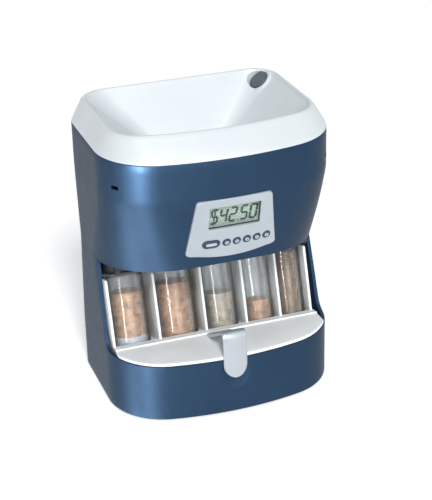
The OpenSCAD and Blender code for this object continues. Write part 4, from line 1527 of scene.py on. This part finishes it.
def build_stack(coin: Coin) -> None:
    """Stack of coins: each is a disc with a rounded rim, set a little off the axis.

    Coin j has rings at radius r - 0.42, r - 0.1 and r, at heights j t + 0.02, j t + 0.1 and j t + 0.3, and
    the same from its top; its middle is moved by up to 0.16 mm.

    Args:
        coin: the coin it is made of.
    """
    rng = np.random.default_rng(int(coin.diameter * 100))
    r, t = coin.diameter / 2, coin.thickness
    j = np.arange(coin.count)
    radii = np.tile([r - 0.42, r - 0.1, r, r, r - 0.1, r - 0.42], coin.count)
    z = (coin.start + j[:, None] * t + np.array([0.02, 0.1, 0.3, t - 0.3, t - 0.1, t - 0.02])[None]).ravel()
    shift = np.repeat(rng.uniform(-0.16, 0.16, (coin.count, 2)), 6, axis=0)
    a = np.linspace(0, 2 * math.pi, 72, endpoint=False)
    x = coin.x + shift[:, :1] + radii[:, None] * np.cos(a)[None]
    y = coin.y + shift[:, 1:] + radii[:, None] * np.sin(a)[None]
    grid = np.stack([x, y, np.broadcast_to(z[:, None], x.shape)], -1)
    stack = capped_solid(f"coins_{coin.name}", LEANING.put(grid), 40.0)
    finish_piece(stack, coin.finish, f"coins_{coin.name}", Body.TRAY)


def build_chutes() -> None:
    """Plate over the tubes with one round guide cup above each, its front corners clipped."""
    half, clipped, front, back = 75.9, 71.5, -2.8, 40.0
    low, high, top, thick, gap = 51.0, 53.0, 63.0, 1.6, 1.0
    corners = [(-clipped, front), (clipped, front), (half, 5.0), (half, back), (-half, back), (-half, 5.0)]
    ring = closed_polygon(corners, 1.5, 5)
    plate = slab("chute_plate", ring, low, high, 0.4, LEANING)
    bores = []
    for coin in COINS:
        r = coin.diameter / 2 + gap
        bore = [(0.05, low - 11), (r, low - 11), (r, high + 7), (0.05, high + 7)]
        bores.append(lathe("bore", bore, LEANING, 64, (coin.x, coin.y)))
        wall = [(r, high - 0.1), (r + thick, high - 0.1), (r + thick, top - 0.4), (r + thick - 0.4, top),
                (r + 0.4, top), (r, top - 0.4)]
        cup = lathe(f"chute_cup_{coin.name}", wall, LEANING, 64, (coin.x, coin.y), ring=True)
        finish_piece(cup, Finish.DARK, "chutes")
    combine(plate, bores)
    finish_piece(plate, Finish.DARK, "chutes")


# ---------------------------------------------------------------- small fittings


@dataclass
class Fittings:
    """Power button, battery door and feet."""

    button_r: float = 7.2
    button_z: float = -1.8
    button_h: float = 3.0
    door_half: float = 30.0
    door_z: tuple[float, float] = (16.0, 70.0)
    door_y: float = 59.2
    door_t: float = 1.8
    groove_z: float = 55.0
    groove_pitch: float = 2.4
    foot_r: float = 6.0
    foot_h: float = 2.2
    foot_spots: tuple[tuple[float, float], ...] = ((-44, -46), (44, -46), (-50, 46), (50, 46))

    def button(self) -> None:
        """Dark power button, domed, on a thin stem."""
        z = self.button_z
        cap = lathe("power_button", disc_profile(self.button_r, z, z + self.button_h, 0.6, 0.3), BUTTON, 72)
        finish_piece(cap, Finish.BUTTON, "power_button", Body.POWER)
        stem = lathe("power_stem", disc_profile(1.6, -5.2, z + 0.4, 0.2), BUTTON, 32)
        finish_piece(stem, Finish.KEY, "power_button", Body.POWER)

    def door(self) -> None:
        """Battery door with five grip grooves."""
        where = place(np.array([[-1, 0, 0], [0, 0, 1], [0, 1, 0]], float), (0, self.door_y, 0))
        half, (low, high) = self.door_half, self.door_z
        ring = closed_polygon([(-half, low), (half, low), (half, high), (-half, high)], 1.6, 5)
        door = slab("battery_door", ring, 0.0, self.door_t, 0.35, where)
        face = self.door_y + self.door_t
        grooves = [block("groove", (-8, face - 0.7, z), (8, face + 1, z + 1), 0.15, 0.4)
                   for z in self.groove_z + self.groove_pitch * np.arange(5)]
        combine(door, grooves)
        finish_piece(door, Finish.CASING, "battery_door", Body.DOOR)

    def feet(self) -> None:
        """Four round rubber feet."""
        r, h = self.foot_r, self.foot_h
        profile = [(0.05, 0.0), (r - 0.4, 0.0), (r, 0.4), (r, h), (0.05, h)]
        for i, spot in enumerate(self.foot_spots):
            foot = lathe(f"foot_{i + 1}", profile, UPRIGHT, 48, spot)
            finish_piece(foot, Finish.RUBBER, "feet")

    def build(self) -> None:
        """Build the fittings."""
        self.button()
        self.door()
        self.feet()


INSIDE = {
    "bottom_plate": Finish.DARK, "base_screws": Finish.STEEL, "power_switch": Finish.DARK,
    "circuit_board": Finish.SOLDER_MASK, "key_switches": Finish.DARK, "tray_deck": Finish.DARK,
    "coin_sensors": Finish.DARK, "sort_track": Finish.DARK, "sort_disc": Finish.ACETAL,
    "drive_pinion": Finish.BRASS, "motor_shaft": Finish.STEEL, "motor": Finish.STEEL, "deck": Finish.DARK,
    "battery_box": Finish.DARK, "cells": Finish.CELL_SLEEVE, "contacts": Finish.STEEL,
}


# ---------------------------------------------------------------- studio


@dataclass(frozen=True)
class Studio:
    """Pale floor and backdrop, soft lights and the camera."""

    azimuth: float = -19.07
    elevation: float = 25.49
    distance: float = 1037.5
    focal: float = 107.14
    aim_x: float = 6.56
    aim_z: float = 96.06
    roll: float = -1.51

    def camera(self) -> None:
        """Camera at aim + distance * back, with back = (sin a cos e, -cos a cos e, sin e), rolled."""
        a, e, r = (math.radians(v) for v in (self.azimuth, self.elevation, self.roll))
        back = Vector((math.sin(a) * math.cos(e), -math.cos(a) * math.cos(e), math.sin(e)))
        right = Vector((math.cos(a), math.sin(a), 0))
        up = back.cross(right)
        aim = Vector((self.aim_x * math.cos(a), self.aim_x * math.sin(a) + SHIFT_Y, self.aim_z))
        turned = right * math.cos(r) + up * math.sin(r)
        tall = -right * math.sin(r) + up * math.cos(r)
        spot = (aim + back * self.distance) * MM
        matrix = Matrix((turned, tall, back)).transposed().to_4x4()
        matrix.translation = spot
        data = bpy.data.cameras.new("camera")
        data.lens = self.focal
        data.sensor_width = 36.0
        data.clip_start, data.clip_end = 0.05, 20.0
        camera = bpy.data.objects.new("camera", data)
        camera.matrix_world = matrix
        bpy.context.scene.collection.objects.link(camera)
        bpy.context.scene.camera = camera

    def light(self, name: str, spot: tuple[float, float, float], size: tuple[float, float], power: float,
              aim: tuple[float, float, float] = (0, 0, 0.1), soft: bool = True,
              only: tuple[str, ...] = ()) -> None:
        """Add a rectangular light that faces a point.

        Args:
            name: name of the light.
            spot: where it stands, in metres.
            size: its width and height, in metres.
            power: its power in watts.
            aim: the point it faces.
            soft: when false it only shows in glossy surfaces.
            only: when given, it lights just the pieces whose name starts with one of these.
        """
        data = bpy.data.lights.new(name, "AREA")
        data.shape = "RECTANGLE"
        data.size, data.size_y = size
        data.energy = power
        lamp = bpy.data.objects.new(name, data)
        lamp.visible_diffuse = soft
        if only:
            lit = bpy.data.collections.new(f"{name}_lit")
            for obj in bpy.data.objects:
                if obj.name.startswith(only):
                    lit.objects.link(obj)
            lamp.light_linking.receiver_collection = lit
            lamp.light_linking.blocker_collection = lit
        lamp.location = spot
        direction = Vector(aim) - Vector(spot)
        lamp.rotation_euler = direction.to_track_quat("-Z", "Y").to_euler()
        bpy.context.scene.collection.objects.link(lamp)

    def sun(self, name: str, turn: tuple[float, float], power: float, width: float) -> None:
        """Add an even far light.

        Args:
            name: name of the light.
            turn: how far it turns about Y and X from straight down, in degrees.
            power: its strength.
            width: how wide it looks, in degrees.
        """
        data = bpy.data.lights.new(name, "SUN")
        data.energy = power
        data.angle = math.radians(width)
        lamp = bpy.data.objects.new(name, data)
        lamp.rotation_euler = (math.radians(-turn[1]), math.radians(turn[0]), 0)
        bpy.context.scene.collection.objects.link(lamp)

    def floor(self) -> None:
        """Pale floor that catches the shadow."""
        s = 6.0
        mesh = bpy.data.meshes.new("floor")
        mesh.from_pydata([(-s, -s, 0), (s, -s, 0), (s, s, 0), (-s, s, 0)], [], [(0, 1, 2, 3)])
        floor = bpy.data.objects.new("floor", mesh)
        bpy.context.scene.collection.objects.link(floor)
        mat, tree, coords = start_material("Matt white paper sweep")
        # Paper fibre about 17 mm across, so faint that it only keeps the sweep from looking flat.
        grain = add_node(tree, "ShaderNodeTexNoise", {"Scale": 60.0, "Detail": 2.0}, {"Vector": coords})
        tint = add_node(tree, "ShaderNodeMix",
                        {"data_type": "RGBA", 6: linear("fbfbfb"), 7: linear("ffffff")},
                        {0: grain.outputs["Fac"]})
        shader = add_node(tree, "ShaderNodeBsdfPrincipled",
                          {"Roughness": 0.9, "Emission Color": linear("ffffff"), "Emission Strength": 0.37},
                          {"Base Color": tint.outputs[2]})
        add_node(tree, "ShaderNodeOutputMaterial", {}, {"Surface": shader.outputs["BSDF"]})
        mesh.materials.append(mat)

    def world(self) -> None:
        """White seen straight on, and a softer grey for everything else."""
        world = bpy.data.worlds.new("studio")
        bpy.context.scene.world = world
        world.use_nodes = True
        tree = world.node_tree
        tree.nodes.clear()
        path = add_node(tree, "ShaderNodeLightPath")
        seen = add_node(tree, "ShaderNodeBackground", {"Color": linear("ffffff"), "Strength": 1.0})
        felt = add_node(tree, "ShaderNodeBackground", {"Color": linear("cdd2d8"), "Strength": 0.2})
        shown = path.outputs["Is Camera Ray"]
        for kind in ("Is Glossy Ray", "Is Transmission Ray"):
            shown = add_node(tree, "ShaderNodeMath", {"operation": "MAXIMUM"},
                             {0: shown, 1: path.outputs[kind]}).outputs[0]
        mix = add_node(tree, "ShaderNodeMixShader", {}, {0: shown, 1: felt.outputs[0], 2: seen.outputs[0]})
        add_node(tree, "ShaderNodeOutputWorld", {}, {"Surface": mix.outputs[0]})

    def build(self) -> None:
        """Set up the floor, world, lights and camera."""
        self.floor()
        self.world()
        self.sun("key", (-11.0, -46.0), 2.3, 14.0)
        self.light("top", (0.0, 0.1, 1.5), (0.9, 0.7), 1.2)
        casing, bays = ("casing",), ("tray", "tube", "chute")
        self.light("strip", (-0.86, -0.96, 0.26), (0.13, 0.5), 9.8, (0, 0, 0.15), False)
        self.light("band", (-0.6, -0.52, 0.1), (0.1, 0.2), 9.0, (0, 0, 0.13), False, casing)
        self.light("bay", (-0.1, -1.2, 0.3), (0.7, 0.5), 4.2, only=bays)
        self.light("chin", (-0.4, -0.17, -0.3), (0.13, 0.4), 6.2, (-0.055, -0.04, 0.1), False, casing)
        self.light("fill", (0.1, -1.35, 0.3), (0.7, 0.4), 1.9)
        self.camera()
        scene = bpy.context.scene
        scene.view_settings.view_transform = "Standard"


def main() -> None:
    """Build the machine, dress its inside and set up the studio."""
    logging.basicConfig(level=logging.INFO, format="%(message)s")
    for node, finish in INSIDE.items():
        dress(node, finish)
    Casing().build()
    Lid().build()
    Panel().build()
    Tray().build()
    for coin in COINS:
        build_tube(coin)
        build_stack(coin)
    build_chutes()
    Fittings().build()
    Studio().build()


if __name__ == "__main__":
    main()
